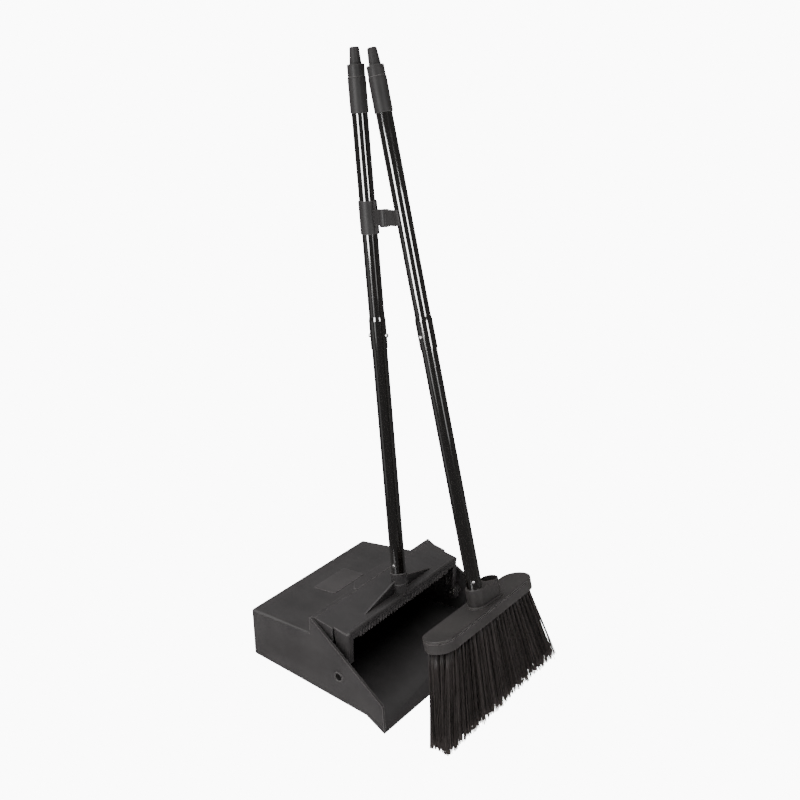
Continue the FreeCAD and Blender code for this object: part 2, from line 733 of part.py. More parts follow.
def broom_block():
    slab = stadium(BLOCK_X, 0, BLOCK_HALF_LEN, BLOCK_HALF_WID, BLOCK_BOTTOM, BLOCK_TOP)
    slab = rounded(slab, 1.8, lambda edge: edge.CenterOfMass.z > BLOCK_TOP - 0.01)
    groove_z = BLOCK_TOP - GROOVE_DROP
    band = stadium(BLOCK_X, 0, BLOCK_HALF_LEN + 5, BLOCK_HALF_WID + 5, groove_z - GROOVE, groove_z)
    core = stadium(BLOCK_X, 0, BLOCK_HALF_LEN - GROOVE, BLOCK_HALF_WID - GROOVE, groove_z - GROOVE, groove_z)
    slab = slab.cut(band.cut(core))
    plinth = socket_boss(BOSS_R + 2.6, SPARE_R + 2.6, BLOCK_TOP - 1, BLOCK_TOP + 2.4)
    boss = socket_boss(BOSS_R, SPARE_R, BLOCK_TOP - 1, 0)
    holes = socket_hole(0, 0).fuse(socket_hole(SPARE_X, SPARE_Y))
    return slab.fuse([plinth, boss]).cut(holes).removeSplitter()


def bristle_pack():
    """The closed outer shape of all the tufts, from the block down to the floor."""
    root = stadium_wire(BLOCK_X, 0, BRISTLE_ROOT_LEN, BRISTLE_ROOT_WID, BLOCK_BOTTOM)
    root.transformShape(BROOM_FRAME.toMatrix())
    half_len = (TIP_X[1] - TIP_X[0]) / 2
    half_wid = (TIP_Y[1] - TIP_Y[0]) / 2
    tips = stadium_wire(sum(TIP_X) / 2, sum(TIP_Y) / 2, half_len, half_wid, 0)
    return Part.makeLoft([root, tips], True, True)


def threaded_tip():
    """Plastic tip in the foot of the broom's tube, with ridges for its coarse thread."""
    core_r = 8.9
    ridge_r = 10.2
    ridges = 4
    pitch = 5.0
    first = -12.0
    tip = rod(TUBE_R - TUBE_WALL - 0.06, V(0, 0, B_TUBE_FOOT), Z_AXIS, 24)
    tip = tip.fuse(rod(TUBE_R, V(0, 0, B_TUBE_FOOT - 1.8), Z_AXIS, 1.8))
    tip = tip.fuse(rod(core_r, V(0, 0, SOCKET_FLOOR + 1), Z_AXIS, -SOCKET_FLOOR - 1 + B_TUBE_FOOT))
    for index in range(ridges):
        z = first - index * pitch
        tip = tip.fuse(lathe([(core_r - 1, z - 1.5), (ridge_r, z - 0.5), (ridge_r, z + 0.5), (core_r - 1, z + 1.5)]))
    return tip.cut(cross_rod(B_RIVET, BROOM_RIVET_TURN, 2.05, 40))


# ================================================================ assembly
def handle_nodes(name, frame, stations):
    """Tubes, snap spring, buttons, grip and cap of one handle."""
    foot, swage_foot, swage_top, button, turn, cross_hole, grip_foot, seam, shoulder, top = stations
    pieces = {
        name + "_lower_tube": lower_tube(foot, swage_top, button, turn, cross_hole),
        name + "_upper_tube": upper_tube(swage_foot, swage_top, seam, button, turn),
        name + "_snap_spring": snap_spring(button, turn),
        name + "_button_front": snap_button(button, turn),
        name + "_button_rear": snap_button(button, turn + 180),
        name + "_grip": grip_sleeve(grip_foot, seam),
        name + "_hang_cap": hang_cap(seam, shoulder, top),
    }
    return {node: set_in(frame, shape) for node, shape in pieces.items()}


def all_nodes():
    nodes = {
        "pan_body": pan_body(),
        "label_plate": label_plate(),
        "yoke_hood": yoke_hood(),
        "broom_clip": broom_clip(),
        "broom_block": set_in(BROOM_FRAME, broom_block()),
        "bristle_pack": bristle_pack(),
        "broom_threaded_tip": set_in(BROOM_FRAME, threaded_tip()),
    }
    paired = {
        "pivot_screw": pivot_screw(),
        "pivot_nut": pivot_nut(),
        "pivot_bush": pivot_bush(),
        "rear_roller": roller(),
        "roller_axle": roller_axle(),
    }
    for name, shape in paired.items():
        nodes[name + "_right"] = shape
        nodes[name + "_left"] = mirrored(shape)
    nodes.update(handle_nodes("pan", PAN_FRAME, (
        P_TUBE_FOOT + 0.1, P_SWAGE_FOOT, P_SWAGE_TOP, P_BUTTON, PAN_BUTTON_TURN,
        (P_RIVET, 180.0, 2.05), P_GRIP_FOOT, P_SEAM, P_SHOULDER, P_TOP)))
    nodes.update(handle_nodes("broom", BROOM_FRAME, (
        B_TUBE_FOOT, B_SWAGE_FOOT, B_SWAGE_TOP, B_BUTTON, BROOM_BUTTON_TURN,
        (B_RIVET, BROOM_RIVET_TURN, 2.05), B_GRIP_FOOT, B_SEAM, B_SHOULDER, B_TOP)))
    pin_hole = cross_rod(P_PIN, 0.0, 2.05, 60)
    nodes["pan_lower_tube"] = nodes["pan_lower_tube"].cut(set_in(PAN_FRAME, pin_hole))
    nodes["pan_socket_pin"] = set_in(PAN_FRAME, cross_pin(P_PIN, 0.0, 2.0, 11.9))
    nodes["pan_tube_rivet"] = set_in(PAN_FRAME, cross_pin(P_RIVET, 180.0, 2.0, 12.0))
    nodes["broom_tip_rivet"] = set_in(BROOM_FRAME, cross_pin(B_RIVET, BROOM_RIVET_TURN, 2.0, 12.0))
    return nodes


def main():
    os.makedirs("parts", exist_ok=True)
    for name, shape in sorted(all_nodes().items()):
        solids = shape.Solids
        print(name, len(solids), "solid", "valid" if shape.isValid() else "INVALID", round(shape.Volume), "mm3")
        shape.exportStep("parts/" + name + ".step")


main()
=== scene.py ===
"""Lobby dust pan and broom set: an upright pan with a swing hood, and the broom that clips to its handle.

Z is up and 0 is the floor. The mouth and the broom face -Y. Lengths in outlines are millimetres,
turned into metres as the outlines are drawn.
"""
import math
import random
from collections import namedtuple

import bmesh
import bpy
from bpy.props import FloatProperty, FloatVectorProperty, IntProperty, PointerProperty
from mathutils import Matrix, Vector


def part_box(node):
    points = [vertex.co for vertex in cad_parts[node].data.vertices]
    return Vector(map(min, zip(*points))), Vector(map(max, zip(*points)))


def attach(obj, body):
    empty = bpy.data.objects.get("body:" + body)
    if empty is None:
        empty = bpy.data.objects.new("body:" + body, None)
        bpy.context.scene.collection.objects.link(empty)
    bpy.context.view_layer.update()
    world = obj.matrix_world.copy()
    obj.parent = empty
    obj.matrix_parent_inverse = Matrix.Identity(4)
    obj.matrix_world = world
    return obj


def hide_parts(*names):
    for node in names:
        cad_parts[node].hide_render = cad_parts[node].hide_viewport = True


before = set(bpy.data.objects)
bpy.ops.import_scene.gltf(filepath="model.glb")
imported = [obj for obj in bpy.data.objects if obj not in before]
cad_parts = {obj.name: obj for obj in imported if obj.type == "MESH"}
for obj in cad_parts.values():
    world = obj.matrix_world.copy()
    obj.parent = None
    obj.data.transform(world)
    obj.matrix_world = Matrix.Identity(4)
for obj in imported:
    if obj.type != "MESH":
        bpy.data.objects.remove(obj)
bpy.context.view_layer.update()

bl_info = {
    "name": "Lobby Dust Pan and Broom",
    "version": (1, 0, 0),
    "blender": (4, 5, 0),
    "location": "View3D > Sidebar > Lobby Set",
    "description": "Models an upright dust pan with a swing hood and its clip-on broom",
    "category": "Add Mesh",
}

MM = 0.001
MERGE = 0.000002
PLACE_SLACK = 0.006
ORIGIN = Vector((0, 0, 0))
X_AXIS = Vector((1, 0, 0))
Y_AXIS = Vector((0, 1, 0))
Z_AXIS = Vector((0, 0, 1))

# the side view of the pan, as (y, z)
RIDGE_Y = 57.8
RIDGE_Z = 130.5
REAR_TOP = (188.2, 94.4)
REAR_BOTTOM = (186.0, 15.5)
COVER_FRONT_Z = 103.6
EDGE_TOP = (-80.2, 43.2)
LIP = (-84.3, 0.0)
FLOOR_BEND = (-49.9, 15.5)
EAR_HALF = 151.5
FLARE = 0.0903
PIVOT_Y = 2.8
PIVOT_Z = 56.0
ROLLER = Vector((85.0, 150.0, 11.0))
ROLLER_W = 16.0
LABEL_Y = 127.5
WELL_FLOOR = 16.6
WELL_TOP = 27.0
RIM_THICK = 4.4
RIM_DEPTH = 5.0
UPSTAND_Z = 127.4
LIP_THICK = 1.4
SCREW_BORE = 3.1
RING_R = 7.9

# the hood
HOOD_HALF = 146.4
HOOD_SLOPE = 0.17
ARM_OUTER = 143.0
ARM_INNER = 131.3
COMB_Y = -5.1
COMB_ROOT_Z = 108.4
NOTCH_Y = 21.8
# one tooth of the comb, as (share of the pitch, depth)
TOOTH = ((-0.45, 0), (-0.30, 3.4), (-0.16, 4.2), (0.16, 4.2), (0.30, 3.4), (0.45, 0))

# the handles' own frames, with Z along each tube
PAN_FRAME = Matrix.Translation(Vector((0, 5.9, 111.2)) * MM) @ Matrix.Rotation(math.radians(-5.41), 4, "X")
BROOM_FRAME = (
    Matrix.Translation(Vector((-17.3, -136.6, 185.0)) * MM)
    @ Matrix.Rotation(math.radians(-14.46), 4, "X")
    @ Matrix.Rotation(math.radians(1.157), 4, "Y")
)
TUBE_R = 11.1
TUBE_WALL = 0.9
SWAGE_R = 12.1
SWAGE_BORE = 11.16
SLEEVE_BORE = 11.13
BUTTON_HOLE_R = 3.08
GRIP_R = 12.4
CAP_R = 11.8
NUB_TOP_R = 6.6

RIVET_HALF = 11.2

# heights along each tube, from its own frame, the turn of its snap buttons, and its rivet's height and turn
Handle = namedtuple("Handle", ["name", "body", "frame", "foot", "swage_foot", "swage_top", "button", "turn",
                               "grip", "seam", "shoulder", "top", "rivet"])
HANDLES = (
    Handle("pan", "yoke", PAN_FRAME, 6.1, 395.1, 436.0, 413.8, -74.0, 721.0, 768.4, 783.8, 806.1,
           ("pan_tube_rivet", 57.0, 180.0)),
    Handle("broom", "broom", BROOM_FRAME, -6.0, 349.9, 389.4, 367.6, 172.0, 668.6, 715.8, 729.6, 752.6,
           ("broom_tip_rivet", 11.0, 215.8)),
)

# the clip, along the pan's handle and along the broom
CLIP_FOOT = 559.0
CLIP_TOP = 604.7
CLIP_ARM_AT = 582.1
CLIP_AT = 531.3
CLIP_HIGH = 21.0
JAW_BORE = 11.45
JAW_R = 14.2
JAW_ENDS = (-2, 182)
LIP_R = 1.4
LIP_REACH = 12.85

# the broom's block, in the broom's frame
BLOCK_TOP = -28.1
BLOCK_BOTTOM = -46.5
BLOCK_X = 1.7
BLOCK_HALF_LEN = 124.1
BLOCK_HALF_WID = 24.2
GROOVE_DEPTH = 1.3
GROOVE_HIGH = 1.1
SPARE = (34.0, -3.0)

# the bristles' footprint on the floor
TIP_X = (-154.0, 156.0)
TIP_Y = (-187.0, -153.5)


# ================================================================ settings
def size_of(name, description, default):
    return FloatProperty(name=name, description=description, default=default, unit="LENGTH")


def colour_of(name, description, default):
    return FloatVectorProperty(name=name, description=description, default=default, subtype="COLOR")


class PanSettings(bpy.types.PropertyGroup):
    wall: size_of("Wall", "Thickness of the pan's walls and cover", 0.003)
    corner: size_of("Corner radius", "Rounding of the pan's outer corners", 0.0042)
    edge: size_of("Edge radius", "Rounding of the pan's thin edges", 0.0009)


class HoodSettings(bpy.types.PropertyGroup):
    thick: size_of("Thickness", "Thickness of the hood's panel", 0.003)
    teeth: IntProperty(name="Comb teeth", description="Teeth along the front of the hood", default=34)
    pitch: size_of("Tooth pitch", "Distance from one tooth of the comb to the next", 0.00686)
    edge: size_of("Edge radius", "Rounding of the hood's edges", 0.0007)


class HandleSettings(bpy.types.PropertyGroup):
    tube: size_of("Tube radius", "Outer radius of both handles", TUBE_R * MM)
    grip: size_of("Grip radius", "Outer radius of the plastic grips", GRIP_R * MM)


class BroomSettings(bpy.types.PropertyGroup):
    columns: IntProperty(name="Tufts along", description="Tufts in the longest row of the block", default=27)
    strands: IntProperty(name="Strands", description="Bristles in one tuft", default=38)
    strand: size_of("Bristle radius", "Radius of one bristle", 0.00046)


class FinishSettings(bpy.types.PropertyGroup):
    pan: colour_of("Pan plastic", "Colour of the pan and hood", (0.0300, 0.0276, 0.0277))
    block: colour_of("Block plastic", "Colour of the broom's block", (0.0310, 0.0280, 0.0272))
    grip: colour_of("Grip plastic", "Colour of the grips, caps and clip", (0.0200, 0.0184, 0.0183))
    paint: colour_of("Tube paint", "Colour of the gloss paint on the tubes", (0.0050, 0.0041, 0.0036))
    bristle: colour_of("Bristles", "Colour of the bristles", (0.0300, 0.0243, 0.0226))


class StageSettings(bpy.types.PropertyGroup):
    floor: colour_of("Floor", "Colour of the floor", (0.90, 0.90, 0.90))
    lens: FloatProperty(name="Lens", description="Focal length of the camera in millimetres", default=48.95)


def settings(group):
    return getattr(bpy.context.scene, "lobby_" + group)


# ================================================================ modelling by hand, in code
def deselect():
    if bpy.context.mode != "OBJECT":
        bpy.ops.object.mode_set(mode="OBJECT")
    bpy.ops.object.select_all(action="DESELECT")


def only(obj):
    deselect()
    obj.select_set(True)
    bpy.context.view_layer.objects.active = obj


def select_whole(obj):
    only(obj)
    bpy.ops.object.mode_set(mode="EDIT")
    bpy.ops.mesh.select_all(action="SELECT")


def settle(name):
    """Name the active object and put its place into its mesh."""
    obj = bpy.context.object
    obj.name = name
    bpy.ops.object.transform_apply(location=True, rotation=True, scale=True)
    return obj


def face_out():
    bpy.ops.mesh.normals_make_consistent(inside=False)
    bpy.ops.object.mode_set(mode="OBJECT")


def mm(x, y, z):
    return Vector((x, y, z)) * MM


def in_plane(axis, at, points):
    """Outline points across one axis, at one place along it."""
    if axis == "x":
        return [mm(at, a, b) for a, b in points]
    if axis == "y":
        return [mm(a, at, b) for a, b in points]
    return [mm(a, b, at) for a, b in points]


def draw(name, points):
    """An outline drawn one corner at a time, from a plane that is merged to its first corner."""
    deselect()
    bpy.ops.mesh.primitive_plane_add(size=MM, location=points[0])
    obj = settle(name)
    bpy.ops.object.mode_set(mode="EDIT")
    bpy.ops.mesh.select_mode(type="VERT")
    bpy.ops.mesh.select_all(action="SELECT")
    bpy.ops.mesh.merge(type="CENTER")
    for start, end in zip(points, points[1:]):
        bpy.ops.mesh.extrude_vertices_move(TRANSFORM_OT_translate={"value": end - start})
    bpy.ops.mesh.select_all(action="SELECT")
    return obj


def slab(name, outline, sweep):
    """A flat outline, filled and extruded into a solid."""
    obj = draw(name, outline)
    bpy.ops.mesh.edge_face_add()
    bpy.ops.mesh.extrude_region_move(TRANSFORM_OT_translate={"value": sweep})
    bpy.ops.mesh.select_all(action="SELECT")
    face_out()
    return obj


def turned(name, profile, steps=96):
    """A profile of (radius, z), spun about the Z axis."""
    obj = draw(name, [mm(radius, 0, z) for radius, z in profile])
    bpy.ops.mesh.spin(steps=steps, angle=math.tau, center=ORIGIN, axis=Z_AXIS)
    bpy.ops.mesh.select_all(action="SELECT")
    bpy.ops.mesh.remove_doubles(threshold=MERGE)
    face_out()
    return obj


def block(name, low, high):
    """A box between two corners, in millimetres."""
    size = [b - a for a, b in zip(low, high)]
    middle = [(a + b) / 2 for a, b in zip(low, high)]
    deselect()
    bpy.ops.mesh.primitive_cube_add(size=1, location=mm(*middle), scale=mm(*size))
    return settle(name)


def rod(name, radius, start, axis, length, steps=48):
    """A round bar from a point along an axis, in millimetres."""
    deselect()
    bpy.ops.mesh.primitive_cylinder_add(vertices=steps, radius=radius * MM, depth=length * MM)
    obj = settle(name)
    turn = axis.to_track_quat("Z", "Y").to_matrix().to_4x4()
    return place(obj, Matrix.Translation(mm(*start) + axis.normalized() * (length * MM / 2)) @ turn)


def place(obj, matrix):
    only(obj)
    obj.matrix_world = matrix
    return settle(obj.name)


def cut_away(obj, point, normal):
    """Cut off what lies on the normal's side of a plane, and close the cut."""
    select_whole(obj)
    bpy.ops.mesh.bisect(plane_co=point, plane_no=normal, use_fill=True, clear_outer=True)
    bpy.ops.object.mode_set(mode="OBJECT")


def round_edges(obj, radius, steps, chosen):
    """Round the edges whose two ends, in millimetres, pass a test."""
    only(obj)
    bpy.ops.object.mode_set(mode="EDIT")
    bpy.ops.mesh.select_mode(type="EDGE")
    bpy.ops.mesh.select_all(action="DESELECT")
    mesh = bmesh.from_edit_mesh(obj.data)
    for edge in mesh.edges:
        if chosen(edge.verts[0].co / MM, edge.verts[1].co / MM):
            edge.select_set(True)
    bmesh.update_edit_mesh(obj.data)
    bpy.ops.mesh.bevel(offset=radius, offset_type="OFFSET", segments=steps, profile=0.5,
                       affect="EDGES", clamp_overlap=True)
    bpy.ops.object.mode_set(mode="OBJECT")


def modify(obj, kind, **values):
    """Add a modifier, set it and apply it."""
    only(obj)
    bpy.ops.object.modifier_add(type=kind)
    modifier = obj.modifiers[-1]
    for key, value in values.items():
        setattr(modifier, key, value)
    bpy.ops.object.modifier_apply(modifier=modifier.name)
    return obj


def soften(obj, radius, steps=2, angle=40.0):
    """Round every edge that is sharper than an angle."""
    return modify(obj, "BEVEL", width=radius, segments=steps, limit_method="ANGLE",
                  angle_limit=math.radians(angle), use_clamp_overlap=True)


def combine(base, tool, how="UNION"):
    modify(base, "BOOLEAN", operation=how, object=tool, solver="EXACT")
    if not base.data.polygons:
        raise RuntimeError("joining " + tool.name + " left " + base.name + " empty")
    bpy.data.objects.remove(tool)
    return base


def cut(base, tool):
    return combine(base, tool, "DIFFERENCE")


def mirrored(obj, name):
    """The same solid on the other side of the set."""
    twin = obj.copy()
    twin.data = obj.data.copy()
    twin.name = name
    bpy.context.collection.objects.link(twin)
    place(twin, Matrix.Scale(-1, 4, X_AXIS))
    select_whole(twin)
    face_out()
    return twin


def arc(centre, radius, start, stop, steps):
    """Points of an arc, with angles in degrees."""
    points = []
    for step in range(steps + 1):
        angle = math.radians(start + (stop - start) * step / steps)
        points.append((centre[0] + radius * math.cos(angle), centre[1] + radius * math.sin(angle)))
    return points


def finish(obj, body, slot, node, smooth=32.0):
    """Shade a piece, paint it, set it on its body and let it stand for its solid."""
    select_whole(obj)
    bpy.ops.mesh.remove_doubles(threshold=MERGE)
    bpy.ops.mesh.delete_loose()
    bpy.ops.object.mode_set(mode="OBJECT")
    bpy.ops.object.shade_smooth_by_angle(angle=math.radians(smooth))
    modify(obj, "WEIGHTED_NORMAL", keep_sharp=True)
    obj.data.materials.clear()
    obj.data.materials.append(FINISHES[slot])
    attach(obj, body)
    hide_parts(node)
    check_place(obj, node)


def check_place(obj, node):
    """A piece has to fill the room of the solid that it stands for."""
    low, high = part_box(node)
    points = [vertex.co for vertex in obj.data.vertices]
    for axis in range(3):
        off_low = min(point[axis] for point in points) - float(low[axis])
        off_high = max(point[axis] for point in points) - float(high[axis])
        if max(abs(off_low), abs(off_high)) > PLACE_SLACK:
            raise RuntimeError(f"{obj.name} is off {node} by {off_low:.4f} and {off_high:.4f} on axis {axis}")


# ================================================================ materials
class Wire:
    """One value in a shader. Sums of wires add the Math nodes that work them out."""

    def __init__(self, tree, socket=None):
        self.tree = tree
        self.socket = socket

    def node(self, kind, setup, inputs, out=0):
        made = self.tree.nodes.new(kind)
        for key, value in setup.items():
            setattr(made, key, value)
        by_identifier = {socket.identifier: socket for socket in made.inputs}
        for key, value in inputs.items():
            target = made.inputs[key] if isinstance(key, int) else by_identifier.get(key) or made.inputs[key]
            if isinstance(value, Wire):
                self.tree.links.new(value.socket, target)
            elif value is not None:
                target.default_value = value
        if isinstance(out, int):
            return Wire(self.tree, made.outputs[out])
        for socket in made.outputs:
            if out in (socket.identifier, socket.name):
                return Wire(self.tree, socket)
        raise RuntimeError(kind + " has no output " + out)

    def sum_of(self, operation, first, second):
        return self.node("ShaderNodeMath", {"operation": operation}, {0: first, 1: second})

    def __add__(self, other):
        return self.sum_of("ADD", self, other)

    def __radd__(self, other):
        return self.sum_of("ADD", other, self)

    def __sub__(self, other):
        return self.sum_of("SUBTRACT", self, other)

    def __rsub__(self, other):
        return self.sum_of("SUBTRACT", other, self)

    def __mul__(self, other):
        return self.sum_of("MULTIPLY", self, other)

    def __rmul__(self, other):
        return self.sum_of("MULTIPLY", other, self)

    def above(self, low, high):
        """0 below low, 1 above high, and smooth between them."""
        return self.node("ShaderNodeMapRange", {"interpolation_type": "SMOOTHSTEP"},
                         {"Value": self, "From Min": low, "From Max": high})


class Finish:
    """A material under construction, with the patterns that most finishes share."""

    def __init__(self, name):
        self.material = bpy.data.materials.new(name)
        self.material.use_nodes = True
        tree = self.material.node_tree
        tree.nodes.clear()
        self.make = Wire(tree)
        self.place = self.make.node("ShaderNodeTexCoord", {}, {}, "Object")

    def stretched(self, scale):
        return self.make.node("ShaderNodeMapping", {}, {"Vector": self.place, "Scale": scale})

    def noise(self, scale, detail=3.0, rough=0.5, vector=None, twist=0.0):
        return self.make.node("ShaderNodeTexNoise", {}, {
            "Vector": vector or self.place, "Scale": scale, "Detail": detail, "Roughness": rough,
            "Distortion": twist})

    def mix(self, share, one, other):
        return self.make.node("ShaderNodeMix", {"data_type": "RGBA"}, {
            "Factor_Float": share, "A_Color": rgba(one), "B_Color": rgba(other)}, "Result_Color")

    def edges(self, radius):
        """1 along the sharp edges and 0 on the flats, from how far rounding turns the surface."""
        rounded = self.make.node("ShaderNodeBevel", {"samples": 4}, {"Radius": radius})
        flat = self.make.node("ShaderNodeNewGeometry", {}, {}, "Normal")
        agree = self.make.node("ShaderNodeVectorMath", {"operation": "DOT_PRODUCT"},
                               {0: rounded, 1: flat}, "Value")
        return (1.0 - agree).above(0.02, 0.16)

    def bump(self, height, strength, distance, under=None):
        return self.make.node("ShaderNodeBump", {}, {
            "Strength": strength, "Distance": distance, "Height": height, "Normal": under})

    def done(self, inputs):
        self.shader = self.make.node("ShaderNodeBsdfPrincipled", {}, inputs)
        self.output = self.make.tree.nodes.new("ShaderNodeOutputMaterial")
        self.make.tree.links.new(self.shader.socket, self.output.inputs["Surface"])
        return self.material

    def glow(self, most, strength):
        """Lay a white glow over the finish, for the camera alone."""
        light = self.make.node("ShaderNodeEmission", {}, {"Color": (1, 1, 1, 1), "Strength": strength})
        share = self.make.node("ShaderNodeLightPath", {}, {}, "Is Camera Ray") * most
        mixed = self.make.node("ShaderNodeMixShader", {}, {0: share, 1: self.shader, 2: light})
        self.make.tree.links.new(mixed.socket, self.output.inputs["Surface"])


def rgba(value):
    if isinstance(value, Wire):
        return value
    return (value[0], value[1], value[2], 1.0)


def shade(colour, amount):
    return tuple(channel * amount for channel in colour)


def moulded_plastic(name, colour, grain, grain_depth, rough, dust):
    """Injection-moulded plastic: spark-eroded grain, faint flow marks, rubbed patches, settled dust and a
    painted highlight along its sharp edges.
    """
    make = Finish(name)
    patches = make.noise(14.0, 4.0, 0.6)
    flow = make.noise(30.0, 3.0, 0.55, make.stretched((1.0, 0.25, 1.0)), 0.6)
    fine = make.noise(grain, 2.0, 0.6)
    pits = make.noise(grain * 2.3, 1.0, 0.5)
    rubs = make.noise(90.0, 5.0, 0.7, make.stretched((0.15, 1.0, 1.0)), 0.3).above(0.60, 0.80)
    specks = make.noise(420.0, 1.0, 0.5).above(0.74, 0.80)
    tone = make.mix(patches.above(0.3, 0.7), shade(colour, 0.88), shade(colour, 1.14))
    tone = make.mix(flow.above(0.45, 0.75) * 0.35, tone, shade(colour, 1.35))
    tone = make.mix(rubs * 0.22, tone, shade(colour, 1.9))
    tone = make.mix(specks * (0.35 * dust), tone, (0.16, 0.14, 0.12))
    # painted highlight: the sharp edges are lightened five and a half times, standing in for the light that
    # their rounding catches
    edge_highlight = make.edges(0.0011) * (fine * 0.6 + 0.5)
    tone = make.mix(edge_highlight, tone, shade(colour, 5.5))
    roughness = patches * 0.16 + fine * 0.10 + (rough - 0.13) + rubs * 0.10
    height = fine * 0.7 + pits * 0.3
    normal = make.bump(height, 0.35, grain_depth)
    normal = make.bump(flow, 0.12, 0.0009, normal)
    return make.done({"Base Color": tone, "Roughness": roughness, "Normal": normal,
                      "Specular IOR Level": 0.30})


def tube_paint(name, colour):
    """Gloss enamel with a little orange peel, hairline scuffs and dust."""
    make = Finish(name)
    peel = make.noise(260.0, 2.0, 0.5)
    drag = make.noise(60.0, 4.0, 0.7, make.stretched((9.0, 9.0, 0.35)), 0.2)
    hairs = drag.above(0.62, 0.72)
    specks = make.noise(700.0, 1.0, 0.5).above(0.77, 0.82)
    tone = make.mix(hairs * 0.35, colour, shade(colour, 5.0))
    tone = make.mix(specks * 0.5, tone, (0.10, 0.09, 0.085))
    roughness = hairs * 0.16 + specks * 0.3 + peel * 0.06 + 0.10
    normal = make.bump(peel, 0.10, 0.0002)
    return make.done({"Base Color": tone, "Roughness": roughness, "Normal": normal, "Specular IOR Level": 0.9,
                      "Coat Weight": 1.0, "Coat IOR": 1.75, "Coat Roughness": 0.04})


def steel(name, colour, rough):
    """Turned steel: fine lathe lines and a few dull spots."""
    make = Finish(name)
    lines = make.noise(1400.0, 2.0, 0.6, make.stretched((1.0, 1.0, 0.2)))
    dull = make.noise(160.0, 3.0, 0.6).above(0.5, 0.75)
    tone = make.mix(dull * 0.5, colour, shade(colour, 0.6))
    normal = make.bump(lines, 0.15, 0.00004)
    return make.done({"Base Color": tone, "Roughness": dull * 0.22 + lines * 0.1 + rough,
                      "Metallic": 1.0, "Normal": normal})


def bristle_finish(name, colour):
    """Extruded filament: each has its own shade, paler and duller towards its worn tip."""
    make = Finish(name)
    own = make.make.node("ShaderNodeAttribute", {"attribute_name": "strand"}, {}, "Fac")
    along = make.make.node("ShaderNodeAttribute", {"attribute_name": "along"}, {}, "Fac")
    streak = make.noise(500.0, 2.0, 0.6, make.stretched((1.0, 1.0, 0.06)))
    tone = make.mix(own, shade(colour, 0.45), shade(colour, 1.7))
    tone = make.mix(along.above(0.82, 1.0) * 0.45, tone, shade(colour, 2.6))
    tone = make.mix(streak.above(0.5, 0.8) * 0.3, tone, shade(colour, 2.1))
    roughness = own * 0.18 + streak * 0.12 + 0.30
    normal = make.bump(streak, 0.2, 0.0001)
    return make.done({"Base Color": tone, "Roughness": roughness, "Normal": normal,
                      "Specular IOR Level": 0.45})


def rubber(name, colour):
    """Tyre rubber with dust worked into its grain."""
    make = Finish(name)
    grain = make.noise(1100.0, 3.0, 0.7)
    dusty = make.noise(120.0, 4.0, 0.6).above(0.5, 0.8)
    tone = make.mix(dusty * 0.3, colour, (0.09, 0.08, 0.07))
    normal = make.bump(grain, 0.4, 0.0001)
    return make.done({"Base Color": tone, "Roughness": grain * 0.2 + 0.6, "Normal": normal,
                      "Specular IOR Level": 0.3})


FINISHES = {}


def make_finishes():
    colours = settings("finish")
    pan = tuple(colours.pan)
    for name, colour, grain, depth, rough, dust in (
        ("pan_plastic", pan, 700.0, 0.00005, 0.44, 0.6),
        ("label_plastic", shade(pan, 1.5), 500.0, 0.00003, 0.34, 0.2),
        ("block_plastic", tuple(colours.block), 420.0, 0.00045, 0.46, 0.8),
        ("grip_plastic", tuple(colours.grip), 900.0, 0.00008, 0.50, 0.3),
        ("tip_plastic", (0.03, 0.03, 0.03), 600.0, 0.00005, 0.4, 0.1),
        ("bush_nylon", (0.30, 0.29, 0.26), 800.0, 0.00003, 0.38, 0.3),
    ):
        FINISHES[name] = moulded_plastic(name, colour, grain, depth, rough, dust)
    FINISHES["tube_paint"] = tube_paint("tube_paint", tuple(colours.paint))
    FINISHES["bright_steel"] = steel("bright_steel", (0.62, 0.61, 0.60), 0.22)
    FINISHES["dark_steel"] = steel("dark_steel", (0.085, 0.081, 0.078), 0.36)
    FINISHES["bristle"] = bristle_finish("bristle", tuple(colours.bristle))
    FINISHES["roller_rubber"] = rubber("roller_rubber", (0.022, 0.021, 0.021))


def node_slot(name):
    """The finish of a solid that stays as it is."""
    if name.startswith(("pivot_screw", "pivot_nut", "pan_socket_pin")):
        return "dark_steel"
    if name.startswith("pivot_bush"):
        return "bush_nylon"
    if name.startswith("rear_roller"):
        return "roller_rubber"
    if name == "broom_threaded_tip":
        return "tip_plastic"
    return "bright_steel"


# ================================================================ pan
def flare_half(y, inset):
    return EAR_HALF + FLARE * (RIDGE_Y - y) - inset


def between_walls(obj, inset):
    """Cut a solid to the room between the flared side walls."""
    for side in (1, -1):
        point = mm(side * flare_half(RIDGE_Y, inset), RIDGE_Y, 0)
        cut_away(obj, point, Vector((side, FLARE, 0)))


def wall_band(side, band):
    """The thicker edge of one side wall, to leave out of the hollow."""
    piece = slab("band", in_plane("x", side * 100.0, band), mm(side * 100.0, 0, 0))
    inside = mm(side * flare_half(RIDGE_Y, RIM_THICK), RIDGE_Y, 0)
    cut_away(piece, inside, Vector((-side, -FLARE, 0)))
    return piece


